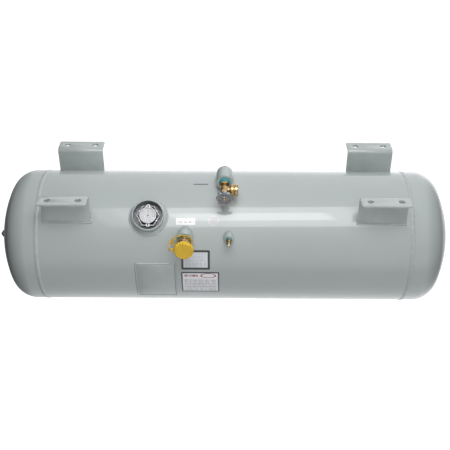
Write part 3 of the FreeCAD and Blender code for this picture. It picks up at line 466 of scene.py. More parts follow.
def make_head(side, node):
    """A pressed end: straight skirt, knuckle and crown, with the wall's thickness all the way."""
    tangent = SEAM + SKIRT
    depth = HEAD_END - tangent
    reach = RADIUS - KNUCKLE
    crown = (reach * reach + depth * depth - KNUCKLE * KNUCKLE) / (2 * (depth - KNUCKLE))
    knuckle_turn = atan2(crown - depth, reach)
    form = bmesh.new()
    rims = []
    for skin in (RADIUS, RADIUS - WALL):
        rim, bend = outline(form, [(skin, SEAM), (skin, tangent)])
        bend = arc_on(form, bend, (reach, tangent), knuckle_turn, 24)
        arc_on(form, bend, (0, HEAD_END - crown), pi / 2 - knuckle_turn, 20)
        rims.append(rim)
    form.edges.new(rims)
    spin_round(form, 288)
    place = ALONG_TANK if side > 0 else ALONG_TANK @ Matrix.Rotation(pi, 4, "X")
    settle(node + "_pressed", form, ENAMEL, [node], place=place)


def make_girth_weld(side, node):
    """The cap of the weld round a seam, with a ripple every five millimetres."""
    half_width, height, ripples = 6.4 * MM, 1.5 * MM, 250
    form = bmesh.new()
    crown = (half_width * half_width + height * height) / (2 * height)
    half_turn = acos((crown - height) / crown)
    start = form.verts.new((RADIUS - 0.1 * MM, 0, -half_width))
    arc_on(form, start, (RADIUS - crown + height, 0), 2 * half_turn, 8)
    spin_round(form, ripples * 5)
    for vert in form.verts:
        across = vert.co.z / half_width
        angle = atan2(vert.co.y, vert.co.x)
        lift = (1 - across * across) * 0.12 * MM * sin(ripples * angle + 2.4 * across * across)
        wander = 0.15 * MM * sin(9 * angle) + 0.1 * MM * sin(23 * angle + 1)
        vert.co += Vector((vert.co.x, vert.co.y, 0)).normalized() * lift + Vector((0, 0, wander))
    place = Matrix.Translation((side * SEAM, 0, 0)) @ ALONG_TANK
    settle(node + "_cap", form, WELD_ENAMEL, [node], place=place, crease=80)


def make_head_plug():
    """A dark plug in the middle of the left head, with a nub on its end."""
    settle(
        "end_plug", turned([(0, -3), (11, -3), (11, 17.2), (10, 18), (0, 18)]), PLUG_PAINT,
        ["head_plug"], place=PLUG, round_off=0.6 * MM)
    settle(
        "end_plug_nub", turned([(0, 17.5), (5.2, 17.5), (4.4, 21.2), (3.6, 22), (0, 22)], 48), PLUG_PAINT,
        place=PLUG)
    weld_radius = 11.6 * MM

    def around(angle):
        return PLUG @ Vector((weld_radius * cos(angle), weld_radius * sin(angle), 0))

    bead("end_plug_weld", [ring_line(60, around)], 1.6 * MM)


def make_brackets():
    leg_inside, leg_outside, sunk = 142.2 * MM, 148.55 * MM, 0.4 * MM
    for node in ("bracket_front_left", "bracket_front_right", "bracket_rear_left", "bracket_rear_right"):
        softened(node, FORGING_ENAMEL, 0.9 * MM, name=node + "_plate")
        low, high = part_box(node)
        out = -1 if node.startswith("bracket_front") else 1
        inner, outer = out * leg_inside, out * leg_outside
        corners = [(low.x, outer), (high.x, outer), (high.x, inner), (low.x, inner)]
        foot = [(x, y, AXIS_Z + surface_height(y) - sunk) for x, y in closed_walk(corners)]
        bead(node + "_foot_weld", [foot], 3.2 * MM, flow=low.x * 10)


# ---- what is fixed on the shell's skin ----

def bent_sheet(x_low, x_high, turn_low, turn_high, lift, steps, corner=0.0):
    """A sheet lying on the shell between two turns about the tank's axis, with its own UV map."""
    form = bmesh.new()
    out, up = (RADIUS + lift) * cos(turn_low), (RADIUS + lift) * sin(turn_low)
    form.edges.new([form.verts.new((x, -out, AXIS_Z + up)) for x in (x_low, x_high)])
    bmesh.ops.spin(
        form, geom=form.verts[:] + form.edges[:], cent=(0, 0, AXIS_Z), axis=(-1, 0, 0),
        angle=turn_high - turn_low, steps=steps, use_merge=False, use_duplicate=False)
    if corner:
        ends = [vert for vert in form.verts if len(vert.link_edges) == 2]
        bmesh.ops.bevel(
            form, geom=ends, offset=corner, offset_type="OFFSET", segments=4, profile=0.5,
            affect="VERTICES", material=-1, clamp_overlap=True)
    bmesh.ops.recalc_face_normals(form, faces=form.faces)
    middles = [(face, face.calc_center_median()) for face in form.faces]
    if sum(face.normal.dot(spot - Vector((spot.x, 0, AXIS_Z))) for face, spot in middles) < 0:
        bmesh.ops.reverse_faces(form, faces=form.faces)
    layer = form.loops.layers.uv.new("film")
    for face in form.faces:
        for loop in face.loops:
            spot = loop.vert.co
            turn = atan2(spot.z - AXIS_Z, -spot.y)
            loop[layer].uv = ((spot.x - x_low) / (x_high - x_low), (turn - turn_low) / (turn_high - turn_low))
    return form


def raised(form, thickness):
    """Gives a sheet its thickness outwards."""
    bmesh.ops.solidify(form, geom=form.faces[:], thickness=-thickness)
    bmesh.ops.recalc_face_normals(form, faces=form.faces)
    return form


def sticker(name, x_low, x_high, arc_low, arc_high, film, corner=2.0):
    """A printed film on the skin; x and arc are in millimetres, arc measured round the skin from the front."""
    turn_low, turn_high = arc_low * MM / RADIUS, arc_high * MM / RADIUS
    steps = max(4, round((arc_high - arc_low) / 4.5))
    form = bent_sheet(x_low * MM, x_high * MM, turn_low, turn_high, 0.12 * MM, steps, corner * MM)
    settle(name, raised(form, 0.10 * MM), film, crease=60)


def round_sticker(name, x, arc, radius, film):
    form = bmesh.new()
    bmesh.ops.create_circle(form, cap_ends=True, cap_tris=True, segments=48, radius=radius * MM)
    layer = form.loops.layers.uv.new("film")
    for face in form.faces:
        for loop in face.loops:
            spot = loop.vert.co
            loop[layer].uv = (0.5 + 0.5 * spot.x / (radius * MM), 0.5 + 0.5 * spot.y / (radius * MM))
    bmesh.ops.subdivide_edges(form, edges=form.edges, cuts=3, use_grid_fill=True)
    for vert in form.verts:
        vert.co.z = surface_height(vert.co.y) + 0.12 * MM
    place = on_tank(x * MM, pi / 2 - arc * MM / RADIUS)
    settle(name, raised(form, 0.10 * MM), film, place=place, crease=60)


def make_stickers():
    white, black, grey = (0.96, 0.96, 0.96), (0.012, 0.012, 0.014), (0.30, 0.31, 0.33)
    skin, faint = (0.50, 0.545, 0.55), (0.47, 0.51, 0.515)
    sticker(
        "white_strip_label", -141.8, -84.6, 148, 168.6,
        label_film("white_strip_film", white, white, (0.10, 0.09, 0.09), 2, (0.03, 0.08), sparse=0.57))
    sticker(
        "bordered_label_upper", -126.6, -41.4, 10, 73,
        label_film("bordered_film_upper", black, (0.84, 0.87, 0.91), (0.44, 0.46, 0.50), 14, (0.078, 0.106)), corner=3)
    sticker(
        "bordered_label_lower", -127.8, -13.9, -90, 1,
        label_film(
            "bordered_film_lower", (0.02, 0.02, 0.022), (0.97, 0.97, 1.0), grey, 12, (0.036, 0.05),
            header=(0.26, (0.42, 0.10, 0.09))), corner=3)
    sticker("clear_strip", -104, -50, 294.5, 318, label_film("clear_strip_film", skin, skin, faint, 1, (0.02, 0.05)))
    sticker(
        "clear_strip_edge", -94, -50, 289.0, 293.6,
        label_film(
            "clear_strip_edge_film", (0.10, 0.105, 0.11), (0.13, 0.135, 0.14), (0.10, 0.10, 0.11), 1, (0.02, 0.2)),
        corner=0.8)
    round_sticker(
        "round_pale_decal", -31.1, 160.6, 16.5,
        label_film("round_decal_film", (0.60, 0.60, 0.61), (0.56, 0.575, 0.58), (0.48, 0.43, 0.43), 5, (0.16, 0.16)))


def make_data_plate():
    """A thin plate bent to the shell and welded all round, with nothing on it."""
    low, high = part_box("data_plate")
    turn_low = atan2(low.z - AXIS_Z, sqrt(max(RADIUS ** 2 - (low.z - AXIS_Z) ** 2, 0)))
    turn_high = atan2(high.z - AXIS_Z, sqrt(max(RADIUS ** 2 - (high.z - AXIS_Z) ** 2, 0)))
    form = bent_sheet(low.x, high.x, turn_low, turn_high, 0.0, 30, 3 * MM)
    plate = settle("bare_data_plate", form, FORGING_ENAMEL, ["data_plate"])
    thicken(plate, 2.6 * MM, 1.0)
    ease_edges(plate, 0.7 * MM, 40)
    gap = 2.4 * MM
    middle_turn, half_turn = (turn_low + turn_high) / 2, (turn_high - turn_low) / 2 + gap / RADIUS
    middle_x, half_x = (low.x + high.x) / 2, (high.x - low.x) / 2 + gap
    reach = RADIUS + 0.4 * MM
    points = []
    for a, b in closed_walk([(-1, -1), (1, -1), (1, 1), (-1, 1)], 54):
        turn = middle_turn + half_turn * b
        points.append((middle_x + half_x * a, -reach * cos(turn), AXIS_Z + reach * sin(turn)))
    bead("data_plate_bead", [points], 3.0 * MM, FORGING_ENAMEL, nodes=["data_plate_weld"], ripple=0.10)


# ---- level gauge ----

def skin_through(rings, count):
    """A sheet through rings of (radius, lift) off the shell, in millimetres; a third figure is a level top instead."""
    form = bmesh.new()
    loops = []
    for radius, lift, *top in rings:
        made = bmesh.ops.create_circle(form, cap_ends=False, segments=count, radius=radius * MM)["verts"]
        for vert in made:
            vert.co.z = top[0] if top else surface_height(vert.co.y) + lift * MM
        loops.append([edge for edge in form.edges if edge.verts[0] in made and edge.verts[1] in made])
    for inner, outer in zip(loops, loops[1:]):
        bmesh.ops.bridge_loops(form, edges=inner + outer)
    return form


def make_gauge_pad():
    """The reinforcing pad: it follows the shell and slopes down from the guard ring to its own foot."""
    form = skin_through(((44.5, 0.2), (44.5, 5.6), (48.5, 5.2), (52.0, 3.6), (55.2, 1.6), (57.4, -0.6)), 160)
    bmesh.ops.recalc_face_normals(form, faces=form.faces)
    place = on_tank(GAUGE_X, GAUGE_TURN)
    settle("gauge_pad", form, ENAMEL, ["gauge_collar"], place=place, crease=50)


def make_gauge_well():
    """A dark sheet of painted shade on the shell and the wall inside the guard ring, where the ring shades them."""
    form = skin_through(((31.0, 0.5), (42.7, 0.5), (43.2, 0.0, RING_TOP - 2.2 * MM)), 120)
    for face in form.faces:
        face.normal_update()
    inward = [face for face in form.faces if face.normal.z < 0.2
              and face.normal.dot(Vector((*face.calc_center_median().xy, 0))) > 0]
    bmesh.ops.reverse_faces(form, faces=inward)
    place = on_tank(GAUGE_X, GAUGE_TURN)
    settle("gauge_ring_painted_shade", raised(form, 0.12 * MM), ENAMEL_PAINTED_SHADE, place=place, crease=50)


def make_gauge_mounting():
    softened("gauge_ring", FORGING_ENAMEL, 0.9 * MM, name="gauge_guard_ring")
    make_gauge_pad()
    make_gauge_well()
    # The boss takes the darker enamel: painted shade inside the guard ring.
    softened("gauge_boss", ENAMEL_PAINTED_SHADE, 0.8 * MM, name="gauge_threaded_boss")
    gauge_axis = on_tank(GAUGE_X, GAUGE_TURN)
    bead("gauge_pad_weld", [foot_line(gauge_axis, 57.2 * MM, count=170)], 1.9 * MM)
    lifted = gauge_axis @ Matrix.Translation((0, 0, 4 * MM))
    bead("guard_ring_weld", [foot_line(lifted, 48 * MM, count=140)], 1.7 * MM)


def make_gauge_head():
    """A six-sided casting: a raised rim round a recess darkened with painted shade, and four lugs."""
    form = hexagon(61.6, 5, 10.2, turn=pi / 2, ease=2.0)
    top = max(form.faces, key=lambda face: face.calc_center_median().z)
    bmesh.ops.inset_region(form, faces=[top], thickness=0.8 * MM, depth=0.8 * MM)
    bmesh.ops.inset_region(form, faces=[top], thickness=1.9 * MM, depth=0)
    bmesh.ops.inset_region(form, faces=[top], thickness=0.4 * MM, depth=-5.4 * MM)
    settle("gauge_hex_head", form, CAST, ["gauge_head"], place=GAUGE, crease=30)
    # A near-black plate on the recess floor: painted shade in the recess.
    recess = hexagon(54.0, 5.4, 5.9, turn=pi / 2)
    settle("gauge_head_recess_painted_shade", recess, RECESS_PAINTED_SHADE, place=GAUGE)
    for count in range(6):
        if count % 3 == 0:
            continue
        form = bmesh.new()
        bmesh.ops.create_cone(
            form, cap_ends=True, segments=24, radius1=2.6 * MM, radius2=2.1 * MM, depth=5.6 * MM)
        angle = pi / 2 + count * pi / 3
        bmesh.ops.translate(form, verts=form.verts, vec=(29.3 * MM * cos(angle), 29.3 * MM * sin(angle), 8.6 * MM))
        settle(f"gauge_head_lug_{count}", form, ZINC, place=GAUGE, round_off=0.5 * MM)


def make_gauge_case():
    """The dial's round case, with an ear and a slotted screw above and below."""
    case = turned(
        [(25, 10.6), (25, 17.2), (24.4, 18), (22.9, 18), (22.9, 13), (0, 13), (0, 10.6)], 96)
    settle("dial_case", case, ZINC, ["gauge_case"], place=GAUGE, round_off=0.35 * MM)
    for side, name in ((1, "upper"), (-1, "lower")):
        screw_y, root_y = side * 28.7 * MM, side * 23 * MM
        ear = bmesh.new()
        bmesh.ops.create_circle(ear, cap_ends=True, segments=40, radius=5.2 * MM)
        bmesh.ops.translate(ear, verts=ear.verts, vec=(0, screw_y, 10.6 * MM))
        for vert in ear.verts:
            if vert.co.y * side < 28.7 * MM:
                vert.co.y = root_y
        pull_up(ear, 2.6 * MM)
        bmesh.ops.recalc_face_normals(ear, faces=ear.faces)
        settle(f"dial_case_ear_{name}", ear, ZINC, place=GAUGE, round_off=0.4 * MM)
        screw = turned([(0, 12.9), (2.9, 12.9), (2.9, 14.2), (2.3, 15.0), (0, 15.2)], 40)
        cut_slot(screw, 0.45, 14.0, 14.05)
        place = GAUGE @ Matrix.Translation((0, screw_y, 0)) @ Matrix.Rotation(0.6 + side, 4, "Z")
        settle(
            f"dial_case_screw_{name}", screw, SCREW_STEEL, [f"gauge_screw_{name}"],
            place=place, crease=25)


def make_dial():
    """A white card with a scale round its edge: ticks, numbers in tens, and red marks near its full end."""
    card = turned([(0, 13.05), (22.7, 13.05), (22.7, 13.8), (0, 13.8)], 96)
    settle("dial_card_disc", card, DIAL_WHITE, ["gauge_dial"], place=GAUGE)
    face = 13.8 * MM
    sweep = radians(270)
    for name, finish, marks in (
            ("dial_ticks_major", TICK_INK, [(count, 0.55, 4.2) for count in range(0, 41, 4)]),
            ("dial_ticks_minor", TICK_INK, [(count, 0.3, 2.2) for count in range(41) if count % 4]),
            ("dial_end_marks", RED_INK, [(count, 1.3, 2.4) for count in (33, 34, 35)])):
        form = bmesh.new()
        for count, width, length in marks:
            angle = sweep / 2 - sweep * count / 40 + pi / 2
            made = bmesh.ops.create_cube(form, size=1)["verts"]
            bmesh.ops.scale(form, verts=made, vec=(length * MM, width * MM, 0.12 * MM))
            bmesh.ops.translate(form, verts=made, vec=((21.2 - length / 2) * MM, 0, face))
            bmesh.ops.rotate(form, verts=made, cent=(0, 0, 0), matrix=Matrix.Rotation(angle, 3, "Z"))
        settle(name, form, finish, place=GAUGE)
    arc = turned([(21.2, 13.78), (21.5, 13.78), (21.5, 13.86), (21.2, 13.86)], 96, closed=True)
    settle("dial_scale_ring", arc, TICK_INK, place=GAUGE)
    for count in range(1, 10):
        angle = sweep / 2 - sweep * count / 10 + pi / 2
        number(f"dial_number_{count}0", f"{count}0", 3.4 * MM, (14.2 * MM * cos(angle), 14.2 * MM * sin(angle), face))


def number(name, text, size, spot):
    curve = bpy.data.curves.new(name, "FONT")
    curve.body = text
    curve.size = size
    curve.align_x = "CENTER"
    curve.align_y = "CENTER"
    curve.extrude = 0.05 * MM
    curve.resolution_u = 3
    mesh = mesh_of(name, curve)
    mesh.transform(GAUGE @ Matrix.Translation(spot))
    settle_mesh(name, mesh, TICK_INK)


def make_pointer_and_lens():
    needle = bmesh.new()
    tip, tail, half = 14.2 * MM, -5.0 * MM, 0.75 * MM
    flat = [needle.verts.new(spot) for spot in (
        (-half * 1.3, tail, 0), (half * 1.3, tail, 0), (half, 0, 0), (0.15 * MM, tip, 0),
        (-0.15 * MM, tip, 0), (-half, 0, 0))]
    needle.faces.new(flat)
    pull_up(needle, 0.45 * MM)
    bmesh.ops.recalc_face_normals(needle, faces=needle.faces)
    settle(
        "pointer_needle", needle, POINTER_GREY, ["gauge_pointer"], "pointer",
        GAUGE @ Matrix.Translation((0, 0, 14.85 * MM)), round_off=0.1 * MM)
    hub = turned([(0, 14.8), (2.5, 14.8), (2.5, 15.2), (1.9, 15.5), (0, 15.5)], 40)
    settle("pointer_hub", hub, POINTER_GREY, (), "pointer", GAUGE)
    lens = turned([(0, 16.6), (22.8, 16.6), (22.8, 17.2), (20, 17.6), (12, 17.9), (0, 18)], 96)
    settle("dial_lens", lens, LENS, ["gauge_lens"], place=GAUGE)


# ---- filling valve and its cap ----

def lobed(radius, lobes, depth, sharpness, per_lobe=8):
    """A flat face whose edge runs in and out: depth is how far each hollow goes in."""
    form = bmesh.new()
    bmesh.ops.create_circle(form, cap_ends=True, segments=lobes * per_lobe, radius=radius)
    for vert in form.verts:
        wave = 0.5 + 0.5 * cos(lobes * atan2(vert.co.y, vert.co.x))
        hollow = depth * (1 - wave ** sharpness)
        vert.co *= 1 - hollow / radius
    return form


def build_up(form, stages):
    """Raises the face through stages of (rise, radius, rounded), in millimetres, its rim brought to each radius."""
    face = form.faces[:][0]
    for count, (rise, radius, rounded) in enumerate(stages):
        grown = bmesh.ops.extrude_face_region(form, geom=[face])
        if count:
            bmesh.ops.delete(form, geom=[face], context="FACES_ONLY")
        face = next(item for item in grown["geom"] if isinstance(item, bmesh.types.BMFace))
        widest = max(vert.co.xy.length for vert in face.verts)
        for vert in face.verts:
            grow = radius * MM / (vert.co.xy.length if rounded else widest)
            vert.co = (vert.co.x * grow, vert.co.y * grow, vert.co.z + rise * MM)
    bmesh.ops.recalc_face_normals(form, faces=form.faces)
    return form


def thread_outline(radius, low, high, pitch, depth):
    points = []
    height = low
    while height + pitch <= high:
        points += [
            (radius - depth, height), (radius, height + pitch * 0.35), (radius, height + pitch * 0.6),
            (radius - depth, height + pitch * 0.95)]
        height += pitch
    return points


def make_coupling(node, radius, place_x, bead_size):
    softened(node, FORGING_ENAMEL, 1.4 * MM, name=node + "_forged")
    place = on_tank(place_x, pi / 2)
    bead(node + "_foot_weld", [foot_line(place, radius, FITTING_Z - AXIS_Z, 110)], bead_size)


def sealant_ring(node, radius, bore, length, place, lumps=7):
    """Paste squeezed out round a thread: a fat roll at the mouth, thinning outwards; sizes in millimetres."""
    form = turned([
        (bore, 0), (radius, 0), (radius + 0.5, min(length * 0.4, 1.6)), (radius + 0.2, length * 0.5),
        (radius - 0.5, length * 0.85), (bore + 0.3, length)], 90, closed=True)
    for vert in form.verts:
        angle = atan2(vert.co.y, vert.co.x)
        swell = 1 + 0.014 * sin(lumps * angle) + 0.010 * sin(17 * angle + 1)
        if vert.co.xy.length > (bore + 0.6) * MM:
            vert.co.xy *= swell
    settle(node + "_paste", form, SEALANT, [node], place=place, crease=70)


def make_fill_valve():
    make_coupling("fill_coupling", 24.0 * MM, FILL_X, 2.4 * MM)
    sealant_ring("fill_sealant", 19.4, 16.6, 3.2, FILL)
    settle(
        "fill_valve_hex", hexagon(37.6, 15, 26, ease=1.2), BRASS, ["fill_valve"],
        place=FILL, round_off=0.7 * MM)
    neck = turned([(14, -2), (17.2, -2), (17.2, 12), (16.0, 13.5), (16.0, 15.5), (14, 15.5)], 96, closed=True)
    settle("fill_valve_neck", neck, BRASS, place=FILL, round_off=0.4 * MM)
    threads = [
        (18.6, 25.5), (20.0, 26.5), *thread_outline(22, 28, 56, 3.2, 1.5), (20.4, 57), (14.2, 57.8), (14.2, 25.5)]
    settle("fill_valve_threads", turned(threads, 96, closed=True), BRASS, place=FILL, crease=25)


def make_fill_cap():
    """A gripped cap: twenty flutes, a rounded shoulder, and a slightly sunk face."""
    form = lobed(28.0 * MM, 20, 2.1 * MM, 0.6)
    bmesh.ops.translate(form, verts=form.verts, vec=(0, 0, 47.3 * MM))
    build_up(form, [
        (0.7, 28.7, False), (9.6, 28.7, False), (1.5, 28.1, False), (1.2, 26.8, False), (0.6, 24.9, False),
        (0.0, 23.2, True), (-0.5, 22.6, True), (0.1, 12.0, True), (0.05, 4.0, True)])
    settle("fill_cap_fluted", form, YELLOW, ["fill_cap"], place=FILL, crease=28)


def make_cap_strap():
    """The strap: a loop drawn out to one side of the neck, then a slotted tail forward and back to the cap."""
    ring = turned([(20.2, 8.9), (23.8, 8.9), (23.8, 11.1), (20.2, 11.1)], 96, closed=True)
    low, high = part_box("fill_cap_strap")
    fold = low.x - FILL_X
    forward = (MOUTH_Y - low.y) - 1.2 * MM
    for vert in ring.verts:
        if vert.co.x < 0:
            vert.co.x *= (fold + 5 * MM) / (-23.8 * MM)
    settle("cap_strap_loop", ring, YELLOW, ["fill_cap_strap"], place=FILL, round_off=0.5 * MM)
    tail = bmesh.new()
    path = [
        (fold + 8 * MM, 9.9 * MM), (fold + 3 * MM, 10.4 * MM), (fold + 1.4 * MM, 14 * MM), (fold + 1.1 * MM, 20 * MM),
        (fold + 1.1 * MM, 36 * MM), (fold + 1.6 * MM, forward - 5 * MM), (fold + 4.5 * MM, forward - 0.9 * MM),
        (-28.9 * MM, forward)]
    line = [tail.verts.new((x, -4.5 * MM, z)) for x, z in path]
    edges = [tail.edges.new(pair) for pair in zip(line, line[1:])]
    for step in (3 * MM, 3 * MM, 3 * MM):
        widened = bmesh.ops.extrude_edge_only(tail, edges=edges)["geom"]
        edges = [item for item in widened if isinstance(item, bmesh.types.BMEdge) and abs(
            item.verts[0].co.y - item.verts[1].co.y) < 0.01 * MM]
        bmesh.ops.translate(tail, verts=list({vert for edge in edges for vert in edge.verts}), vec=(0, step, 0))
    middles = [(face, face.calc_center_median()) for face in tail.faces]
    slot = [face for face, spot in middles if abs(spot.y) < 0.5 * MM and 19 * MM < spot.z < 37 * MM]
    bmesh.ops.delete(tail, geom=slot, context="FACES_ONLY")
    bmesh.ops.recalc_face_normals(tail, faces=tail.faces)
    piece = settle("cap_strap_tail", tail, YELLOW, place=FILL)
    thicken(piece, 2.0 * MM, 0.0)
    ease_edges(piece, 0.5 * MM, 50)


# ---- bleeder ----

def make_bleeder():
    make_coupling("bleeder_coupling", 15.0 * MM, BLEEDER_X, 1.9 * MM)
    sealant_ring("bleeder_sealant", 9.3, 6.6, 3.0, BLEEDER)
    settle(
        "bleeder_hex", hexagon(15.2, 3, 10, ease=0.6), BRASS, ["bleeder_valve"],
        place=BLEEDER, round_off=0.4 * MM)
    barrel = turned([
        (0, -2), (6.6, -2), (6.6, 3.4), (5.6, 3.6), (5.6, 10), (7.2, 10.4), (7.2, 12), (6.0, 13), (6.0, 19.5),
        (6.6, 20), (6.6, 23), (4.0, 26.6), (0, 26.6)], 64)
    settle("bleeder_barrel", barrel, BRASS, place=BLEEDER, round_off=0.35 * MM)
    screw = turned([(0, 24), (4.9, 24), (4.9, 33.8), (4.2, 34.9), (0, 34.9)], 56)
    cut_slot(screw, 0.7, 33, 32.6)
    settle(
        "bleeder_vent_screw", screw, PALE_BRASS, ["bleeder_screw"],
        place=BLEEDER @ Matrix.Rotation(0.5, 4, "Z"), crease=28)


# ---- service valve ----

def make_elbow():
    softened("service_elbow", FORGING_ENAMEL, 1.3 * MM, name="service_elbow_forged")
    bead("service_elbow_foot_weld", [foot_line(on_tank(WHEEL_SPOT.x), 25.6 * MM, count=120)], 2.4 * MM)
    dot = turned([(0, 24.6), (2.6, 24.6), (2.6, 25.4), (0, 25.5)], 32)
    settle(
        "elbow_forging_mark", dot, PLUG_PAINT,
        place=Matrix.Translation((WHEEL_SPOT.x, 0, WHEEL_SPOT.z)) @ Matrix.Rotation(-0.12, 4, "X"))


def make_service_valve():
    sealant_ring("service_sealant", 16.6, 14.9, 12.9, SERVICE, lumps=5)
    settle(
        "service_valve_hex", hexagon(27.6, 13, 22, turn=pi / 6, ease=1.0), BRASS, ["service_valve"],
        place=SERVICE, round_off=0.6 * MM)
    body = turned([
        (0, -4), (14.8, -4), (14.8, 13.2), (9.5, 13.4), (9.5, 28), (11.2, 30), (12.0, 33), (12.0, 57), (11.4, 59),
        (10.4, 60), (0, 60)], 96)
    settle("service_valve_chest", body, BRASS, place=SERVICE, round_off=0.4 * MM)
    branch = turned(
        [(0, 4), (10.0, 4), (10.0, 14.6), (11.6, 15.4), (12.6, 16)] + thread_outline(14.0, 16, 32.5, 1.8, 1.0)
        + [(12.6, 33), (0, 33)], 80)
    settle("service_outlet_branch", branch, BRASS, place=OUTLET, crease=25)
    bonnet = hexagon(25.6, 60, 71, turn=pi / 6, ease=0.9)
    settle("service_bonnet_hex", bonnet, BRASS, ["service_bonnet"], place=SERVICE, round_off=0.6 * MM)
    gland = turned([(0, 70.5), (9.6, 70.5), (9.6, 73), (8.5, 74), (8.5, 79), (7.4, 80), (0, 80)], 64)
    settle("service_gland_nut", gland, BRASS, place=SERVICE, round_off=0.3 * MM)
    stem = turned([(0, 53), (4.0, 53), (4.0, 95.3), (0, 95.3)], 40)
    settle("service_stem_rod", stem, STEM_STEEL, ["service_stem"], "wheel", SERVICE, round_off=0.3 * MM)


def make_outlet_cap():
    """The blanking cap on the side outlet: two rings with a deep groove between them, and a plain end."""
    cap = turned([
        (14.3, 18.4), (17.4, 18.4), (18.3, 19.3), (18.3, 26.2), (17.4, 27.2), (15.3, 27.6), (15.3, 29.8), (17.4, 30.2),
        (18.3, 31.2), (18.3, 38.0), (16.8, 39.6), (13.4, 40.2), (12.6, 39.4), (0, 39.4), (0, 34.2), (14.3, 34.2)], 120)
    settle("outlet_blanking_cap", cap, BRASS, ["outlet_cap"], place=OUTLET, round_off=0.35 * MM)


def make_handwheel():
    """A cast wheel: eight finger lobes, a dished front with a raised hub and a floor darkened with painted shade, and a
    boss behind.
    """
    form = lobed(23.0 * MM, 8, 2.7 * MM, 0.9, per_lobe=16)
    bmesh.ops.translate(form, verts=form.verts, vec=(0, 0, 85.8 * MM))
    build_up(form, [
        (1.0, 23.9, False), (6.4, 23.9, False), (1.3, 22.8, False), (0.0, 18.6, True), (-3.2, 17.4, True),
        (0.0, 7.0, True)])
    settle("handwheel_cast", form, CAST, ["handwheel"], "wheel", SERVICE, round_off=0.45 * MM)
    # A darker disc on the dish's floor: painted shade in the wheel's recess.
    web = turned([(3.9, 90.3), (17.2, 90.3), (17.2, 91.6), (3.9, 91.6)], 96, closed=True)
    settle("handwheel_web_painted_shade", web, CAST_PAINTED_SHADE, (), "wheel", SERVICE)
    hub = turned([(3.9, 90.0), (7.6, 90.0), (7.2, 93.8), (6.2, 94.8), (3.9, 94.8)], 56, closed=True)
    settle("handwheel_hub", hub, CAST, (), "wheel", SERVICE, round_off=0.4 * MM)
    boss = turned([(3.9, 80.6), (8.6, 80.6), (9.8, 86.4), (3.9, 86.4)], 56, closed=True)
    settle("handwheel_boss", boss, CAST, (), "wheel", SERVICE, round_off=0.4 * MM)
    for count in range(8):
        rib = bmesh.new()
        made = bmesh.ops.create_cube(rib, size=1)["verts"]
        bmesh.ops.scale(rib, verts=made, vec=(10.0 * MM, 2.0 * MM, 2.4 * MM))
        bmesh.ops.translate(rib, verts=made, vec=(11.6 * MM, 0, 92.0 * MM))
        bmesh.ops.rotate(rib, verts=made, cent=(0, 0, 0), matrix=Matrix.Rotation(tau * count / 8, 3, "Z"))
        settle(f"handwheel_rib_{count}", rib, CAST, (), "wheel", SERVICE, round_off=0.4 * MM)
    nut = hexagon(9.4, 94.8, 98.6, ease=0.4)
    settle("stem_lock_nut", nut, BRASS, ["stem_nut"], "wheel", SERVICE, round_off=0.35 * MM)
    end = turned([(0, 98), (2.9, 98), (2.9, 99.4), (2.3, 100), (0, 100)], 40)
    settle("stem_end", end, BRASS, (), "wheel", SERVICE)


# ---- the room ----

CAMERA_SPOT = (0.02275, -2.09012, 1.16913)
CAMERA_PITCH = radians(90 - 33.103)
CAMERA_YAW = radians(0.587)
LENS_MM = 62.88
FLOOR_Z = -1.35
AIR_STRENGTH = 1.08
BACKDROP = (0.93, 0.935, 0.94, 1)
LIGHT_TILT = radians(63.5)
LIGHT_FAR = 1.9


def make_camera():
    data = bpy.data.cameras.new("studio_camera")
    data.lens = LENS_MM
    data.sensor_width = 36.0
    data.clip_end = 50.0
    camera = bpy.data.objects.new("studio_camera", data)
    camera.location = CAMERA_SPOT
    camera.rotation_euler = (CAMERA_PITCH, 0, CAMERA_YAW)
    bpy.context.scene.collection.objects.link(camera)
    bpy.context.scene.camera = camera


def soft_light(name, nearer, size, radiance):
    """A softbox over the front of the tank, of the given size in metres; radiance is how bright its face is."""
    far = LIGHT_FAR - nearer
    spot = Vector((0.12, -far * cos(LIGHT_TILT), AXIS_Z + far * sin(LIGHT_TILT)))
    data = bpy.data.lights.new(name, "AREA")
    data.shape = "RECTANGLE"
    data.size, data.size_y = size
    data.energy = radiance * pi * size[0] * size[1]
    box = bpy.data.objects.new(name, data)
    box.location = spot
    box.rotation_euler = (Vector((0, 0, AXIS_Z)) - spot).to_track_quat("-Z", "Y").to_euler()
    bpy.context.scene.collection.objects.link(box)


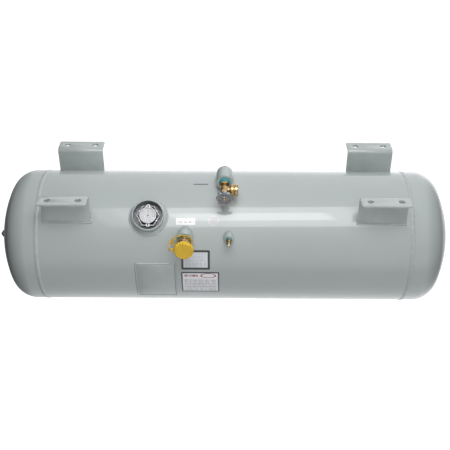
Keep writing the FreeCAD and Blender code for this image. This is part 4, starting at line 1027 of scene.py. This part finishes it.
def make_air():
    """The light of the room: brighter overhead, darker below, and darker still past the tank's ends."""
    world = bpy.data.worlds.new("studio_air")
    bpy.context.scene.world = world
    world.use_nodes = True
    nodes, links = world.node_tree.nodes, world.node_tree.links
    direction = nodes.new("ShaderNodeTexCoord").outputs["Generated"]
    parts = nodes.new("ShaderNodeSeparateXYZ")
    links.new(direction, parts.inputs[0])

    def shade(part, stops):
        spread = nodes.new("ShaderNodeMapRange")
        spread.inputs["From Min"].default_value = -1
        links.new(parts.outputs[part], spread.inputs["Value"])
        ramp = nodes.new("ShaderNodeValToRGB")
        links.new(spread.outputs["Result"], ramp.inputs["Fac"])
        for _ in stops[2:]:
            ramp.color_ramp.elements.new(0.5)
        for element, (spot, level) in zip(ramp.color_ramp.elements, stops):
            element.position = spot
            element.color = (level, level * 1.004, level * 1.01, 1)
        return ramp.outputs["Color"]

    light = shade("Z", (
        (0.0, 0.80), (0.12, 0.70), (0.23, 0.48), (0.36, 0.80), (0.46, 0.80), (0.56, 0.66), (0.72, 0.64), (1.0, 0.62)))
    for part, stops in (
            ("X", ((0.0, 0.0), (0.18, 0.02), (0.30, 0.25), (0.42, 1.0), (0.70, 1.2), (0.83, 0.52), (0.94, 0.05))),
            ("Y", ((0.0, 0.95), (0.45, 1.0), (0.65, 1.15), (1.0, 1.3)))):
        both = nodes.new("ShaderNodeVectorMath")
        both.operation = "MULTIPLY"
        links.new(light, both.inputs[0])
        links.new(shade(part, stops), both.inputs[1])
        light = both.outputs[0]
    links.new(light, nodes["Background"].inputs["Color"])
    nodes["Background"].inputs["Strength"].default_value = AIR_STRENGTH
    backdrop = nodes.new("ShaderNodeBackground")
    backdrop.inputs["Color"].default_value = BACKDROP
    seen = nodes.new("ShaderNodeMixShader")
    links.new(nodes.new("ShaderNodeLightPath").outputs["Is Camera Ray"], seen.inputs[0])
    links.new(nodes["Background"].outputs[0], seen.inputs[1])
    links.new(backdrop.outputs[0], seen.inputs[2])
    links.new(seen.outputs[0], nodes["World Output"].inputs["Surface"])


def make_room():
    form = bmesh.new()
    bmesh.ops.create_grid(form, x_segments=1, y_segments=1, size=9)
    bmesh.ops.translate(form, verts=form.verts, vec=(0, 3, FLOOR_Z))
    mesh = bpy.data.meshes.new("studio_floor")
    form.to_mesh(mesh)
    form.free()
    floor = bpy.data.objects.new("studio_floor", mesh)
    bpy.context.scene.collection.objects.link(floor)
    pale = Finish("pale_floor_paint", Roughness=0.9, Emission_Color=(1, 1, 1, 1), Emission_Strength=0.68)
    pale.colour(pale.ramp(pale.noise(1.3, 2), (0.3, (0.90, 0.90, 0.90)), (0.7, (0.92, 0.92, 0.92))))
    mesh.materials.append(pale.material)
    floor.visible_diffuse = False
    floor.visible_glossy = False

    make_air()
    # Softboxes at one depth don't add up, so each smaller one hangs a little nearer.
    for name, nearer, size, radiance in (
            ("widest", 0.0, (1.62, 1.12), 0.87), ("wide", 0.02, (1.36, 1.12), 0.87),
            ("narrow", 0.04, (1.10, 1.12), 0.87), ("hot_middle", 0.06, (0.80, 0.40), 2.6)):
        soft_light(f"softbox_{name}", nearer, size, radiance)
    bpy.context.scene.view_settings.view_transform = "Standard"


make_shell()
make_head(1, "head_right")
make_head(-1, "head_left")
make_girth_weld(1, "girth_weld_right")
make_girth_weld(-1, "girth_weld_left")
make_head_plug()
make_brackets()
make_data_plate()
make_stickers()
make_gauge_mounting()
make_gauge_head()
make_gauge_case()
make_dial()
make_pointer_and_lens()
make_fill_valve()
make_fill_cap()
make_cap_strap()
make_bleeder()
make_elbow()
make_service_valve()
make_outlet_cap()
make_handwheel()
make_camera()
make_room()
